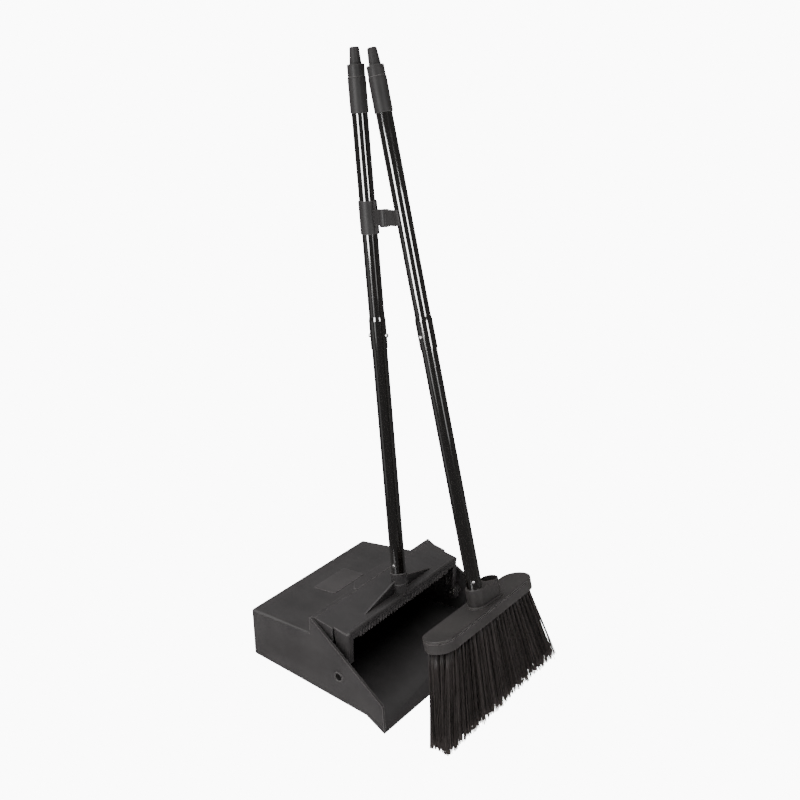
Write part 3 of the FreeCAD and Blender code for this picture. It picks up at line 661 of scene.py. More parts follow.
def pan_shell():
    sizes = settings("pan")
    wall = sizes.wall / MM
    back = RIDGE_Y + wall
    outline = [REAR_BOTTOM, REAR_TOP, (back, COVER_FRONT_Z), (back, RIDGE_Z), (RIDGE_Y, RIDGE_Z),
               EDGE_TOP, LIP, FLOOR_BEND]
    shell = slab("pan_shell", in_plane("x", -200.0, outline), mm(400, 0, 0))
    between_walls(shell, 0.0)

    def outer_corner(a, b):
        if max(a.y, b.y) < -60:
            return False
        rear = min(a.y, b.y) > 180
        along_side = abs(a.y - b.y) > 60 and abs(a.x - b.x) < 40
        low = max(a.z, b.z) < 16
        cover = min(a.z, b.z) > 90 and max(a.z, b.z) < 110 and min(a.y, b.y) > 55
        return rear or (along_side and (low or cover))

    round_edges(shell, sizes.corner, 5, outer_corner)

    floor = REAR_BOTTOM[1] + wall
    under = COVER_FRONT_Z - wall
    hollow_line = [(REAR_BOTTOM[0] - wall, floor), (REAR_TOP[0] - wall, REAR_TOP[1] - wall), (back, under),
                   (RIDGE_Y, under), (RIDGE_Y, UPSTAND_Z), (back + wall, UPSTAND_Z), (back + wall, 160.0),
                   (-110.0, 160.0), (-110.0, LIP_THICK), (LIP[0], LIP_THICK), (FLOOR_BEND[0] - 1, floor)]
    hollow = slab("hollow", in_plane("x", -200.0, hollow_line), mm(400, 0, 0))
    between_walls(hollow, wall)

    def inner_corner(a, b):
        side = abs(a.y - b.y) > 60 and abs(a.x - b.x) < 40 and max(a.z, b.z) < 101 and min(a.y, b.y) > -60
        rear = min(a.y, b.y) > 180
        return side or rear

    round_edges(hollow, 0.0022, 4, inner_corner)
    run_y = RIDGE_Y - EDGE_TOP[0]
    run_z = RIDGE_Z - EDGE_TOP[1]
    length = math.hypot(run_y, run_z)
    step_y = RIM_DEPTH * run_z / length
    step_z = -RIM_DEPTH * run_y / length
    band = [(RIDGE_Y, RIDGE_Z + 8), (EDGE_TOP[0] - 12, EDGE_TOP[1] + 8), (LIP[0] - 12, LIP[1] - 2),
            (LIP[0] + 6.5, LIP[1] + 4), (EDGE_TOP[0] + 6.5, EDGE_TOP[1] + step_z + 2.5),
            (RIDGE_Y + step_y - 2, RIDGE_Z + step_z)]
    for side in (1, -1):
        cut(hollow, wall_band(side, band))
    cut(shell, hollow)
    soften(shell, sizes.edge, 3, 50.0)

    for side in (1, -1):
        centre = Vector((side * ROLLER.x, ROLLER.y, 0))
        half = ROLLER_W / 2 + 1.5
        hump = block("hump", (centre.x - half - 2, centre.y - 15.5, WELL_FLOOR),
                     (centre.x + half + 2, centre.y + 15.5, WELL_TOP))
        combine(shell, soften(hump, 0.0012, 3))
        well = block("well", (centre.x - half, centre.y - 13.5, 5.0),
                     (centre.x + half, centre.y + 13.5, WELL_TOP - 2))
        cut(shell, well)
        for ear_side in (-1, 1):
            near = centre.x + ear_side * half
            low_x = min(near, near + 3 * ear_side)
            line = [(centre.y + 6, 17.0)] + arc((centre.y, ROLLER.z), 6.0, 0, -180, 16)
            line += [(centre.y - 6, 17.0)]
            ear = slab("ear", in_plane("x", low_x, line), mm(3, 0, 0))
            combine(shell, soften(ear, 0.0005, 2))
        axle_hole = rod("axle_hole", 2.0, (centre.x - 20, centre.y, ROLLER.z), X_AXIS, 40)
        cut(shell, axle_hole)

    outside = flare_half(PIVOT_Y, 0.0)
    profile = [(0, 0), (RING_R, 0), (RING_R, outside - 142.1), (7.4, outside - 141.5), (6.2, outside - 141.5),
               (5.6, outside - 142.0), (5.3, outside - 145.8), (0, outside - 145.8)]
    for side in (1, -1):
        boss = turned("boss", profile, 64)
        turn = Matrix.Rotation(math.radians(90 * side), 4, "Y")
        place(boss, Matrix.Translation(mm(side * (ARM_OUTER + 0.5), PIVOT_Y, PIVOT_Z)) @ turn)
        seat = rod("seat", 7.0, (side * (ARM_OUTER + 1.0), PIVOT_Y, PIVOT_Z), X_AXIS * side, 30)
        cut(shell, seat)
        combine(shell, boss)
        bore = rod("bore", SCREW_BORE, (side * (ARM_OUTER - 5), PIVOT_Y, PIVOT_Z), X_AXIS * side, 30)
        cut(shell, bore)
    finish(shell, "pan", "pan_plastic", "pan_body")


def pan_label():
    """A blank raised plate on the cover, its corners rounded."""
    fall = (REAR_TOP[1] - COVER_FRONT_Z) / (REAR_TOP[0] - RIDGE_Y - 3)

    def height(y):
        return COVER_FRONT_Z + (y - RIDGE_Y - 3) * fall

    corners = []
    for turn, (x, y) in enumerate([(35, 18), (-35, 18), (-35, -18), (35, -18)]):
        corners += arc((x, y), 3.0, 90 * turn, 90 * turn + 90, 6)
    outline = [mm(x, LABEL_Y + y, height(LABEL_Y + y) - 0.3) for x, y in corners]
    plate = slab("pan_label", outline, mm(0, 0, 1.1))
    soften(plate, 0.0004, 2, 60.0)
    finish(plate, "pan", "label_plastic", "label_plate")


# ================================================================ hood
def panel_height(y):
    return RIDGE_Z - HOOD_SLOPE * (RIDGE_Y - y)


def hood_panel():
    sizes = settings("hood")
    thick = sizes.thick / MM
    edge = sizes.edge
    corner = arc((138.5, -0.1), 4.0, 0, -90, 6)
    plan = [(-HOOD_HALF, RIDGE_Y), (HOOD_HALF, RIDGE_Y), (HOOD_HALF, NOTCH_Y), (142.5, NOTCH_Y)] + corner
    plan += [(-x, y) for x, y in reversed(corner)] + [(-142.5, NOTCH_Y), (-HOOD_HALF, NOTCH_Y)]
    hood = slab("hood", [mm(x, y, panel_height(y)) for x, y in plan], mm(0, 0, -thick))
    soften(hood, edge)
    parts = [
        block("ridge", (-HOOD_HALF, RIDGE_Y - 4, RIDGE_Z - 2.7), (HOOD_HALF, RIDGE_Y + 3, RIDGE_Z + 0.05)),
        block("flange", (-HOOD_HALF, RIDGE_Y - 3.4, 104.5), (HOOD_HALF, RIDGE_Y - 0.4, RIDGE_Z - 1)),
    ]
    skirt_line = [(NOTCH_Y, 102.0), (RIDGE_Y - 2, 98.0), (RIDGE_Y - 2, panel_height(RIDGE_Y) - 1),
                  (NOTCH_Y, panel_height(NOTCH_Y) - 1)]
    skirt = slab("skirt", in_plane("x", HOOD_HALF - 3, skirt_line), mm(3, 0, 0))
    parts += [skirt, mirrored(skirt, "skirt_left")]

    tab_line = [(-48, RIDGE_Y - 3), (48, RIDGE_Y - 3), (48, RIDGE_Y), (46, RIDGE_Y + 3), (33, RIDGE_Y + 12.6),
                (30, RIDGE_Y + 13.8), (-30, RIDGE_Y + 13.8), (-33, RIDGE_Y + 12.6), (-46, RIDGE_Y + 3),
                (-48, RIDGE_Y)]
    parts.append(slab("tab", in_plane("z", RIDGE_Z - 2.6, tab_line), mm(0, 0, 3.2)))
    for part in parts:
        combine(hood, soften(part, edge))

    for side in (1, -1):
        for part in arm_parts(side, edge):
            combine(hood, part)
    combine(hood, comb_strip(sizes))
    bead_y = COMB_Y + 2.2
    bead_z = panel_height(bead_y) - 1.2
    bead = rod("bead", 3.4, (-ARM_OUTER + 2, bead_y, bead_z), X_AXIS, 2 * ARM_OUTER - 4, 40)
    combine(hood, soften(bead, 0.0026, 4, 60.0))

    profile = [(0, -1), (13.3, -1), (13.1, 12), (12.75, 24.0), (13.2, 24.4), (13.45, 25.0), (13.45, 25.8),
               (13.2, 26.4), (12.65, 26.9), (12.6, 41.5), (13.0, 42.0), (13.15, 42.5), (13.15, 43.5),
               (12.75, 44.1), (11.5, 44.1), (11.14, 43.6), (11.14, 6.0), (0, 6.0)]
    socket = place(turned("socket", profile), PAN_FRAME)
    gusset_line = [(6, 142.5), (12.5, 142.5), (87, 122.2), (87, 119.0), (6, 116)]
    gusset = slab("gusset", in_plane("y", 8.2, gusset_line), mm(0, 2.6, 0))
    soften(gusset, 0.0005, 2)
    combine(hood, mirrored(gusset, "gusset_left"))
    combine(hood, gusset)
    cut(hood, place(rod("room", 11.5, (0, 0, 6.5), Z_AXIS, 60), PAN_FRAME))
    combine(hood, socket)
    pin_hole = place(rod("pin_hole", 2.05, (-30, 0, 34), X_AXIS, 60, 24), PAN_FRAME)
    cut(hood, pin_hole)
    finish(hood, "yoke", "pan_plastic", "yoke_hood")


def comb_strip(sizes):
    """The serrated strip under the bead."""
    pitch = sizes.pitch / MM
    first = -pitch * (sizes.teeth - 1) / 2
    end = ARM_INNER + 2.5
    line = [(end, COMB_ROOT_Z), (end, 118.8), (-end, 118.8), (-end, COMB_ROOT_Z)]
    for tooth in range(sizes.teeth):
        middle = first + tooth * pitch
        line += [(middle + share * pitch, COMB_ROOT_Z - drop) for share, drop in TOOTH]
    strip = slab("comb", in_plane("y", COMB_Y + 0.15, line), mm(0, 2.9, 0))
    soften(strip, 0.0003, 2)
    for tooth in range(sizes.teeth):
        middle = first + tooth * pitch
        rib = block("rib", (middle - 0.9, COMB_Y - 0.35, COMB_ROOT_Z - 3.2),
                    (middle + 0.9, COMB_Y + 1.0, COMB_ROOT_Z + 5.0))
        combine(strip, soften(rib, 0.0003, 2))
    return strip


def arm_parts(side, edge):
    """One arm: an outer plate down to the pivot, a rounded front flange and a rear rib."""
    inner = ARM_OUTER - 3
    line = [(COMB_Y + 4.5, 118.8), (COMB_Y + 4.5, 66.0)]
    line += arc((PIVOT_Y, PIVOT_Z), 12.0, 150, 375, 40)
    line += [(NOTCH_Y, panel_height(NOTCH_Y) - 0.5)]
    plate = slab("arm", in_plane("x", side * inner, line), mm(side * 3, 0, 0))
    soften(plate, edge)
    bend = (ARM_OUTER - 5, COMB_Y + 5)
    plan = [(ARM_INNER, COMB_Y)] + arc(bend, 5.0, -90, 0, 8) + [(inner + 1.0, COMB_Y + 9)]
    plan += [(inner, COMB_Y + 9)] + arc(bend, 2.0, 0, -90, 4) + [(ARM_INNER, COMB_Y + 3)]
    plan = [(side * x, y) for x, y in plan]
    flange = slab("arm_flange", in_plane("z", PIVOT_Z + 15, plan), mm(0, 0, 119.3 - PIVOT_Z - 15))
    soften(flange, 0.0006, 2, 60.0)
    low_x, high_x = sorted((side * (ARM_INNER + 1.5), side * (inner + 0.5)))
    rib = block("arm_rib", (low_x, 8.5, PIVOT_Z + 14), (high_x, 11.0, panel_height(9.0) - 1))
    soften(rib, 0.0006, 2)
    boss = rod("arm_boss", 8.5, (side * (inner - 1.5), PIVOT_Y, PIVOT_Z), X_AXIS * side, 2.0)
    bore = rod("arm_bore", 5.2, (side * (inner - 5), PIVOT_Y, PIVOT_Z), X_AXIS * side, 20)
    combine(plate, soften(boss, 0.0004, 2, 60.0))
    cut(plate, bore)
    return [plate, flange, rib]


# ================================================================ handles
def finish_tube(tube, name, handle):
    """Drill a tube for the snap button, stand it in its place and paint it."""
    hole = rod("hole", BUTTON_HOLE_R, (-30, 0, handle.button), X_AXIS, 60, 32)
    cut(tube, place(hole, Matrix.Rotation(math.radians(handle.turn), 4, "Z")))
    place(tube, handle.frame)
    finish(tube, handle.body, "tube_paint", name, 40.0)


def upper_tube(handle):
    """Gloss tube with its swaged foot, its rounded cone and the holes of the snap button."""
    name = handle.name + "_upper_tube"
    radius = settings("handles").tube / MM
    inside = radius - TUBE_WALL
    foot, top, end = handle.swage_foot, handle.swage_top, handle.seam - 0.4
    profile = [(SWAGE_BORE, foot), (11.9, foot), (SWAGE_R, foot + 0.25), (SWAGE_R, foot + 0.8),
               (SWAGE_R, top), (SWAGE_R - 0.12, top + 1.2), (SWAGE_R - 0.5, top + 3.5),
               (radius + 0.12, top + 5.8), (radius, top + 7.2), (radius, end), (inside, end),
               (inside, top + 7.5), (SWAGE_BORE, top + 0.5), (SWAGE_BORE, foot)]
    finish_tube(turned(name, profile), name, handle)


def lower_tube(handle):
    name = handle.name + "_lower_tube"
    radius = settings("handles").tube / MM
    inside = radius - TUBE_WALL
    foot, top = handle.foot, handle.swage_top
    profile = [(inside, foot), (radius - 0.2, foot), (radius, foot + 0.2), (radius, top - 0.2),
               (radius - 0.2, top), (inside, top), (inside, foot)]
    finish_tube(turned(name, profile), name, handle)


def grip(handle):
    """Plastic sleeve over the tube, its ends rounded."""
    name = handle.name + "_grip"
    radius = settings("handles").grip / MM
    foot, top = handle.grip, handle.seam - 0.4
    profile = [(SLEEVE_BORE, foot), (radius - 0.9, foot), (radius - 0.35, foot + 0.2),
               (radius - 0.05, foot + 0.8), (radius, foot + 1.4), (radius, top - 1.6),
               (radius - 0.15, top - 0.7), (radius - 0.6, top), (SLEEVE_BORE, top), (SLEEVE_BORE, foot)]
    sleeve = place(turned(name, profile), handle.frame)
    finish(sleeve, handle.body, "grip_plastic", name, 40.0)


def hang_cap(handle):
    """End cap: plug, short body and a tapered nub with a rounded end."""
    name = handle.name + "_hang_cap"
    plug = TUBE_R - 1.0
    seam, shoulder, top = handle.seam, handle.shoulder, handle.top
    profile = [(0, seam - 22), (plug - 0.6, seam - 22), (plug, seam - 21.4), (plug, seam - 0.38),
               (11.6, seam - 0.38), (11.6, seam + 0.2), (CAP_R - 0.1, seam + 0.2),
               (CAP_R - 0.02, seam + 0.4), (CAP_R, seam + 0.8), (CAP_R, shoulder - 0.8),
               (CAP_R - 0.2, shoulder - 0.3), (CAP_R - 0.7, shoulder), (8.9, shoulder + 0.3),
               (8.4, shoulder + 0.5), (8.15, shoulder + 1.1)]
    profile += arc((NUB_TOP_R - 2.6, top - 2.6), 2.6, 0, 90, 8) + [(0, top)]
    cap = place(turned(name, profile), handle.frame)
    finish(cap, handle.body, "grip_plastic", name, 40.0)


def across_tube(piece, handle, at, turn):
    """Lay a turned piece across a handle."""
    lie = Matrix.Rotation(math.radians(turn), 4, "Z") @ Matrix.Rotation(math.radians(90), 4, "Y")
    place(piece, handle.frame @ Matrix.Translation(mm(0, 0, at)) @ lie)


def rivet(handle):
    """A pin through the tube with a domed head at each end."""
    name, at, turn = handle.rivet
    half = RIVET_HALF
    dome = []
    for angle in range(0, 91, 15):
        tilt = math.radians(angle)
        dome.append((2.35 * math.cos(tilt), half + 0.35 + 0.75 * math.sin(tilt)))
    crown = dome[-1][1]
    profile = [(0, -crown)] + [(r, -z) for r, z in reversed(dome[:-1])]
    profile += [(2.35, -half + 0.35), (2.0, -half + 0.35), (2.0, half - 0.35), (2.35, half - 0.35)]
    profile += dome[:-1] + [(0, crown)]
    pin = turned(name, profile, 32)
    across_tube(pin, handle, at, turn)
    finish(pin, handle.body, "bright_steel", name, 40.0)


def snap_button(handle, side, turn):
    """A domed button with the flange that stops it inside the tube."""
    name = handle.name + "_button_" + side
    profile = [(0, 7.6), (3.9, 7.6), (3.9, 8.8), (3.0, 8.8), (3.0, 13.0)]
    profile += arc((1.4, 13.2), 1.6, 10, 90, 5) + [(0, 14.8)]
    knob = turned(name, profile, 40)
    across_tube(knob, handle, handle.button, turn)
    finish(knob, name, "bright_steel", name, 40.0)


def broom_clip():
    """Sleeve on the pan's handle, a web with a round post, and a spring C that holds the broom."""
    centre = BROOM_FRAME @ mm(0, 0, CLIP_AT)
    local = (PAN_FRAME.inverted() @ centre) / MM
    profile = [(SLEEVE_BORE, CLIP_FOOT), (12.1, CLIP_FOOT), (12.6, CLIP_FOOT + 0.6), (12.6, CLIP_TOP - 0.6),
               (12.1, CLIP_TOP), (SLEEVE_BORE, CLIP_TOP), (SLEEVE_BORE, CLIP_FOOT)]
    sleeve = turned("broom_clip", profile)
    low = CLIP_ARM_AT - CLIP_HIGH / 2
    rib = block("clip_rib", (-2.5, -15.8, CLIP_FOOT), (2.5, -11.8, CLIP_TOP))
    post = rod("clip_post", 7.2, (local.x * 0.45, local.y * 0.45, low - 2.0), Z_AXIS, CLIP_HIGH + 2.5, 64)
    web_line = [(-4.5, -12.0), (4.5, -12.0), (local.x + 4, local.y + 12.6), (local.x - 4, local.y + 12.6)]
    web = slab("clip_web", in_plane("z", low, web_line), mm(0, 0, CLIP_HIGH))
    for part, radius in ((rib, 0.0011), (post, 0.0009), (web, 0.0006)):
        combine(sleeve, soften(part, radius, 3, 60.0))
    room = rod("room", SLEEVE_BORE, (0, 0, 550.0), Z_AXIS, 70, 96)
    cut(sleeve, room)
    place(sleeve, PAN_FRAME)
    broom_room = rod("broom_room", JAW_BORE, (0, 0, CLIP_AT - 30), Z_AXIS, 60, 96)
    cut(sleeve, place(broom_room, BROOM_FRAME))
    base = CLIP_AT - CLIP_HIGH / 2
    first, last = JAW_ENDS
    line = arc((0, 0), JAW_BORE, first, last, 48) + arc((0, 0), JAW_R, last, first, 48)
    jaws = slab("clip_jaws", in_plane("z", base, line), mm(0, 0, CLIP_HIGH))
    soften(jaws, 0.0006, 3, 60.0)
    for angle in JAW_ENDS:
        bead_at = (LIP_REACH * math.cos(math.radians(angle)), LIP_REACH * math.sin(math.radians(angle)), base)
        combine(jaws, soften(rod("lip", LIP_R, bead_at, Z_AXIS, CLIP_HIGH, 24), 0.0006, 2, 60.0))
    combine(sleeve, place(jaws, BROOM_FRAME))
    finish(sleeve, "yoke", "grip_plastic", "broom_clip", 35.0)


# ================================================================ broom head
def stadium(cx, cy, half_len, half_wid, steps=20):
    reach = half_len - half_wid
    return arc((cx + reach, cy), half_wid, -90, 90, steps) + arc((cx - reach, cy), half_wid, 90, 270, steps)


def socket_hull(near_r, far_r):
    """The outline round both socket walls."""
    apart = math.hypot(*SPARE)
    lean = math.degrees(math.atan2(SPARE[1], SPARE[0]))
    open_by = math.degrees(math.acos((near_r - far_r) / apart))
    return (arc(SPARE, far_r, lean - open_by, lean + open_by, 28)
            + arc((0, 0), near_r, lean + open_by, lean + 360 - open_by, 36))


def tuft_grid(columns):
    """Tufts in the block's foot, as (x, y, row, share of the row's reach): five staggered rows."""
    spots = []
    pitch = 2 * (BLOCK_HALF_LEN - 7.5) / (columns - 1)
    for row in range(5):
        y = (row - 2) * 7.6
        reach = BLOCK_HALF_LEN - BLOCK_HALF_WID + math.sqrt((BLOCK_HALF_WID - 6.5) ** 2 - y * y)
        offset = 0.5 * pitch if row % 2 else 0.0
        count = int((reach - offset) / pitch)
        for column in range(-count - (1 if row % 2 else 0), count + 1):
            x = column * pitch + offset
            if abs(x) <= reach:
                spots.append((BLOCK_X + x, y, row, x / reach))
    return spots


def broom_block():
    """Round-ended block with a moulded lip and the two-socket boss."""
    slab_line = stadium(BLOCK_X, 0, BLOCK_HALF_LEN, BLOCK_HALF_WID)
    head = slab("broom_block", in_plane("z", BLOCK_BOTTOM, slab_line), mm(0, 0, BLOCK_TOP - BLOCK_BOTTOM))
    round_edges(head, 0.0014, 4, lambda a, b: min(a.z, b.z) > BLOCK_TOP - 0.01)
    round_edges(head, 0.0008, 2, lambda a, b: max(a.z, b.z) < BLOCK_BOTTOM + 0.01)
    groove_z = BLOCK_TOP - 3.2
    outer_line = stadium(BLOCK_X, 0, BLOCK_HALF_LEN + 5, BLOCK_HALF_WID + 5)
    inner_line = stadium(BLOCK_X, 0, BLOCK_HALF_LEN - GROOVE_DEPTH, BLOCK_HALF_WID - GROOVE_DEPTH)
    band = slab("band", in_plane("z", groove_z - 0.9, outer_line), mm(0, 0, GROOVE_HIGH))
    core = slab("core", in_plane("z", groove_z - 5, inner_line), mm(0, 0, 10))
    cut(band, core)
    cut(head, band)
    plinth = slab("plinth", in_plane("z", BLOCK_TOP - 1, socket_hull(16.9, 15.9)), mm(0, 0, 3.4))
    boss = slab("boss", in_plane("z", BLOCK_TOP - 1, socket_hull(14.3, 13.3)), mm(0, 0, -BLOCK_TOP + 1))
    round_edges(plinth, 0.0012, 3, lambda a, b: min(a.z, b.z) > BLOCK_TOP + 2.3)
    round_edges(boss, 0.0010, 3, lambda a, b: min(a.z, b.z) > -0.01)
    combine(head, plinth)
    combine(head, boss)
    for x, y in ((0, 0), SPARE):
        cut(head, rod("mouth", 11.6, (x, y, -8), Z_AXIS, 30, 64))
        cut(head, rod("socket", 10.4, (x, y, -34), Z_AXIS, 60, 64))
    place(head, BROOM_FRAME)
    finish(head, "broom", "block_plastic", "broom_block")


def strand(radius):
    """One bristle of unit length, hanging down from its root, three-sided and cut into lengths so that it can
    bow.
    """
    deselect()
    bpy.ops.mesh.primitive_cone_add(vertices=3, radius1=radius * 0.95, radius2=radius, depth=1.0,
                                    end_fill_type="TRIFAN", location=(0, 0, -0.5))
    obj = settle("strand")
    bpy.ops.object.mode_set(mode="EDIT")
    for cut in (-0.2, -0.45, -0.7, -0.88):
        bpy.ops.mesh.select_all(action="SELECT")
        bpy.ops.mesh.bisect(plane_co=(0, 0, cut), plane_no=(0, 0, 1))
    bpy.ops.object.mode_set(mode="OBJECT")
    return obj


def bristle_tufts():
    """One bristle modelled once and copied into every tuft, spread and trimmed to the floor."""
    sizes = settings("broom")
    rng = random.Random(11)
    pattern = strand(sizes.strand)
    base = [vertex.co.copy() for vertex in pattern.data.vertices]
    faces = [tuple(polygon.vertices) for polygon in pattern.data.polygons]
    bpy.data.objects.remove(pattern)
    spots = tuft_grid(sizes.columns)
    rows = {"bristles_front": [], "bristles_back": []}
    for x, y, row, share_x in spots:
        share_y = y / 15.2
        root = BROOM_FRAME @ mm(x, y, BLOCK_BOTTOM + 1.0)
        foot_x = (TIP_X[0] + TIP_X[1]) / 2 + share_x * (TIP_X[1] - TIP_X[0] - 7) / 2 + rng.uniform(-1.6, 1.6)
        foot_y = (TIP_Y[0] + TIP_Y[1]) / 2 + share_y * (TIP_Y[1] - TIP_Y[0] - 10) / 2 + rng.uniform(-1.5, 1.5)
        foot = mm(foot_x, foot_y, 0)
        key = "bristles_front" if row <= 2 else "bristles_back"
        rows[key].append((root, foot))
    for name, tufts in rows.items():
        points, polygons, own, along = [], [], [], []
        for root, foot in tufts:
            span = foot - root
            across = span.cross(Y_AXIS).normalized()
            over = across.cross(span).normalized()
            tuft_tone = rng.uniform(-0.22, 0.22)
            for index in range(sizes.strands):
                angle = rng.uniform(0, math.tau)
                reach = math.sqrt(rng.random())
                start = (across * math.cos(angle) + over * math.sin(angle)) * (reach * 2.1 * MM)
                drift = rng.gauss(0, 0.25)
                turn = angle + drift
                wide = 2.7 * MM + rng.random() * 2.5 * MM
                if rng.random() < 0.008:
                    wide *= 1.8
                end = (across * math.cos(turn) + over * math.sin(turn)) * (reach * wide + 1.2 * MM)
                short = rng.random() ** 1.5 * 0.024
                bow = rng.gauss(0, 0.7) * MM
                sway = rng.gauss(0, 0.6) * MM
                tone = min(1.0, max(0.0, 0.42 + tuft_tone + rng.gauss(0, 0.26)))
                first = len(points)
                spin_by = rng.uniform(0, math.tau)
                for co in base:
                    t = min(1.0, -co.z) * (1 - short)
                    centre = root + span * t
                    bend = math.sin(t * math.pi)
                    centre += start * (1 - t) + end * (t ** 1.35)
                    centre += across * (bow * bend) + over * (sway * bend)
                    cx = co.x * math.cos(spin_by) - co.y * math.sin(spin_by)
                    cy = co.x * math.sin(spin_by) + co.y * math.cos(spin_by)
                    point = centre + across * cx + over * cy
                    point.z = max(point.z, 0.0003)
                    points.append(point)
                    own.append(tone)
                    along.append(t)
                polygons += [tuple(first + corner for corner in face) for face in faces]
        mesh = bpy.data.meshes.new(name)
        mesh.from_pydata(points, [], polygons)
        mesh.attributes.new("strand", "FLOAT", "POINT").data.foreach_set("value", own)
        mesh.attributes.new("along", "FLOAT", "POINT").data.foreach_set("value", along)
        obj = bpy.data.objects.new(name, mesh)
        bpy.context.collection.objects.link(obj)
        select_whole(obj)
        face_out()
        bpy.ops.object.shade_smooth()
        mesh.materials.append(FINISHES["bristle"])
        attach(obj, "broom")
        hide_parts("bristle_pack")


# ================================================================ stage
# name, azimuth in degrees, width, foot and top in metres, and watts
STRIPS = (
    ("strip_left", 178.0, 0.40, 0.42, 0.88, 16.0),
    ("strip_left_foot", 178.0, 0.36, 0.19, 0.42, 0.35),
    ("strip_right", 254.0, 0.30, 0.66, 1.08, 10.0),
    ("strip_right_foot", 254.0, 0.30, 0.42, 0.66, 0.34),
    ("edge_left", 140.0, 0.60, -0.35, 0.42, 0.40),
    ("edge_right", 292.0, 0.60, -0.35, 0.30, 0.07),
)
STRIP_AWAY = 1.35
CAMERA_AT = (-1.1846, -0.8481, 0.9747)
CAMERA_TURN = (69.67, 0, -54.17)


def studio_room(scene):
    """A pale room for the camera, and a dim one for everything that it lights."""
    world = bpy.data.worlds.new("studio")
    world.use_nodes = True
    scene.world = world
    tree = world.node_tree
    tree.nodes.clear()
    make = Wire(tree)
    seen = make.node("ShaderNodeBackground", {}, {"Color": (1, 1, 1, 1), "Strength": 10.0})
    felt = make.node("ShaderNodeBackground", {}, {"Color": (1, 1, 1, 1), "Strength": 0.08})
    share = make.node("ShaderNodeLightPath", {}, {}, "Is Camera Ray")
    mixed = make.node("ShaderNodeMixShader", {}, {0: share, 1: felt, 2: seen})
    output = tree.nodes.new("ShaderNodeOutputWorld")
    tree.links.new(mixed.socket, output.inputs["Surface"])


def studio_lamps():
    """A broad soft sky light, and strips that draw the lines on the gloss tubes."""
    deselect()
    bpy.ops.object.light_add(type="SUN", location=(0, 0, 3),
                             rotation=(math.radians(-16), math.radians(-13), 0))
    sky = bpy.context.object
    sky.name = "sky"
    sky.data.energy = 4.7
    sky.data.angle = math.radians(95)
    for name, azimuth, wide, low, high, power in STRIPS:
        turn = math.radians(azimuth)
        stand = (STRIP_AWAY * math.cos(turn), STRIP_AWAY * math.sin(turn), (low + high) / 2)
        deselect()
        bpy.ops.object.light_add(type="AREA", location=stand)
        lamp = bpy.context.object
        lamp.name = name
        lamp.data.shape = "RECTANGLE"
        lamp.data.size = wide
        lamp.data.size_y = high - low
        lamp.data.energy = power
        lamp.rotation_euler = (math.radians(90), 0, turn + math.radians(90))
        lamp.visible_camera = False
        lamp.visible_diffuse = False


# ================================================================ operators
class LOBBY_OT_finishes(bpy.types.Operator):
    """Make the materials, and paint the small hardware that keeps its own solids"""
    bl_idname = "lobby.finishes"
    bl_label = "Finishes and Hardware"

    def execute(self, context):
        make_finishes()
        for name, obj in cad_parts.items():
            obj.data.materials.clear()
            obj.data.materials.append(FINISHES[node_slot(name)])
        return {"FINISHED"}


class LOBBY_OT_pan(bpy.types.Operator):
    """Model the pan with its cover, side walls, lip and roller wells, and its blank label plate"""
    bl_idname = "lobby.pan"
    bl_label = "Pan"

    def execute(self, context):
        pan_shell()
        pan_label()
        return {"FINISHED"}


class LOBBY_OT_hood(bpy.types.Operator):
    """Model the swing hood with its arms, comb, bead, tab and handle socket"""
    bl_idname = "lobby.hood"
    bl_label = "Hood"

    def execute(self, context):
        hood_panel()
        return {"FINISHED"}


class LOBBY_OT_handles(bpy.types.Operator):
    """Model both handles: tubes, snap buttons, rivets, grips and caps"""
    bl_idname = "lobby.handles"
    bl_label = "Handles"

    def execute(self, context):
        for handle in HANDLES:
            upper_tube(handle)
            lower_tube(handle)
        for piece in (grip, hang_cap, rivet):
            for handle in HANDLES:
                piece(handle)
        for handle in HANDLES:
            snap_button(handle, "front", handle.turn)
            snap_button(handle, "rear", handle.turn + 180)
        return {"FINISHED"}


class LOBBY_OT_clip(bpy.types.Operator):
    """Model the clip that holds the broom to the pan's handle"""
    bl_idname = "lobby.clip"
    bl_label = "Broom Clip"

    def execute(self, context):
        broom_clip()
        return {"FINISHED"}


class LOBBY_OT_block(bpy.types.Operator):
    """Model the broom's block with its two sockets"""
    bl_idname = "lobby.block"
    bl_label = "Broom Block"

    def execute(self, context):
        broom_block()
        return {"FINISHED"}


class LOBBY_OT_bristles(bpy.types.Operator):
    """Model the tufts of bristles, from the block to the floor"""
    bl_idname = "lobby.bristles"
    bl_label = "Bristles"

    def execute(self, context):
        bristle_tufts()
        return {"FINISHED"}


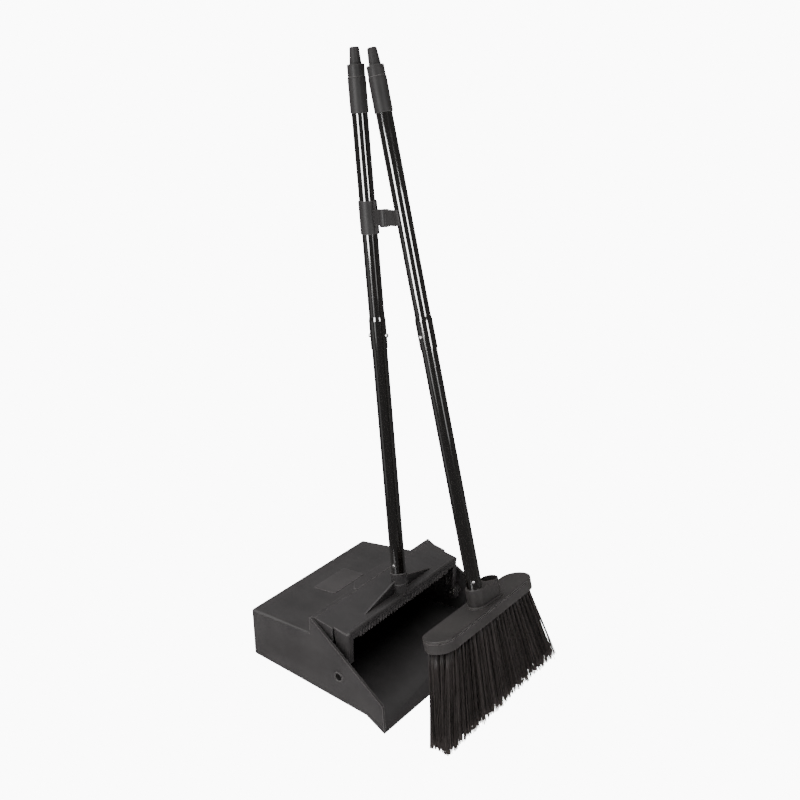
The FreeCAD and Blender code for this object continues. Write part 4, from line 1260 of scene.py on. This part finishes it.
class LOBBY_OT_stage(bpy.types.Operator):
    """Lay the floor, light it softly and set the camera"""
    bl_idname = "lobby.stage"
    bl_label = "Stage"

    def execute(self, context):
        sizes = settings("stage")
        deselect()
        bpy.ops.mesh.primitive_plane_add(size=4000.0, location=(0, 0, 0))
        floor = bpy.context.object
        floor.name = "floor"
        floor.visible_glossy = False
        make = Finish("floor_paint")
        cloud = make.noise(0.8, 2.0, 0.5)
        tone = make.mix(cloud, shade(tuple(sizes.floor), 0.985), tuple(sizes.floor))
        make.done({"Base Color": tone, "Roughness": 0.9, "Specular IOR Level": 0.1,
                   "Emission Color": (1, 1, 1, 1), "Emission Strength": 2.4})
        make.glow(0.8, 12.0)
        floor.data.materials.append(make.material)
        studio_room(context.scene)
        studio_lamps()
        deselect()
        bpy.ops.object.camera_add(location=CAMERA_AT, rotation=[math.radians(turn) for turn in CAMERA_TURN])
        camera = bpy.context.object
        camera.data.lens = sizes.lens
        camera.data.sensor_width = 36.0
        context.scene.camera = camera
        return {"FINISHED"}


STEPS = (LOBBY_OT_finishes, LOBBY_OT_pan, LOBBY_OT_hood, LOBBY_OT_handles, LOBBY_OT_clip, LOBBY_OT_block,
         LOBBY_OT_bristles, LOBBY_OT_stage)
GROUPS = {"pan": PanSettings, "hood": HoodSettings, "handles": HandleSettings, "broom": BroomSettings,
          "finish": FinishSettings, "stage": StageSettings}


class LOBBY_PT_set(bpy.types.Panel):
    """The pieces of the set, in the order in which they are made"""
    bl_idname = "LOBBY_PT_set"
    bl_label = "Dust Pan and Broom"
    bl_space_type = "VIEW_3D"
    bl_region_type = "UI"
    bl_category = "Lobby Set"

    def draw(self, context):
        for step in STEPS:
            self.layout.operator(step.bl_idname)
        for name, group in GROUPS.items():
            box = self.layout.box()
            box.label(text=name.capitalize())
            for field in group.__annotations__:
                box.prop(getattr(context.scene, "lobby_" + name), field)


def register():
    for name, group in GROUPS.items():
        bpy.utils.register_class(group)
        setattr(bpy.types.Scene, "lobby_" + name, PointerProperty(type=group))
    for step in STEPS:
        bpy.utils.register_class(step)
    bpy.utils.register_class(LOBBY_PT_set)


def unregister():
    bpy.utils.unregister_class(LOBBY_PT_set)
    for step in reversed(STEPS):
        bpy.utils.unregister_class(step)
    for name, group in reversed(GROUPS.items()):
        delattr(bpy.types.Scene, "lobby_" + name)
        bpy.utils.unregister_class(group)


def main():
    register()
    bpy.ops.lobby.finishes()
    bpy.ops.lobby.pan()
    bpy.ops.lobby.hood()
    bpy.ops.lobby.handles()
    bpy.ops.lobby.clip()
    bpy.ops.lobby.block()
    bpy.ops.lobby.bristles()
    bpy.ops.lobby.stage()


if __name__ == "__main__":
    main()
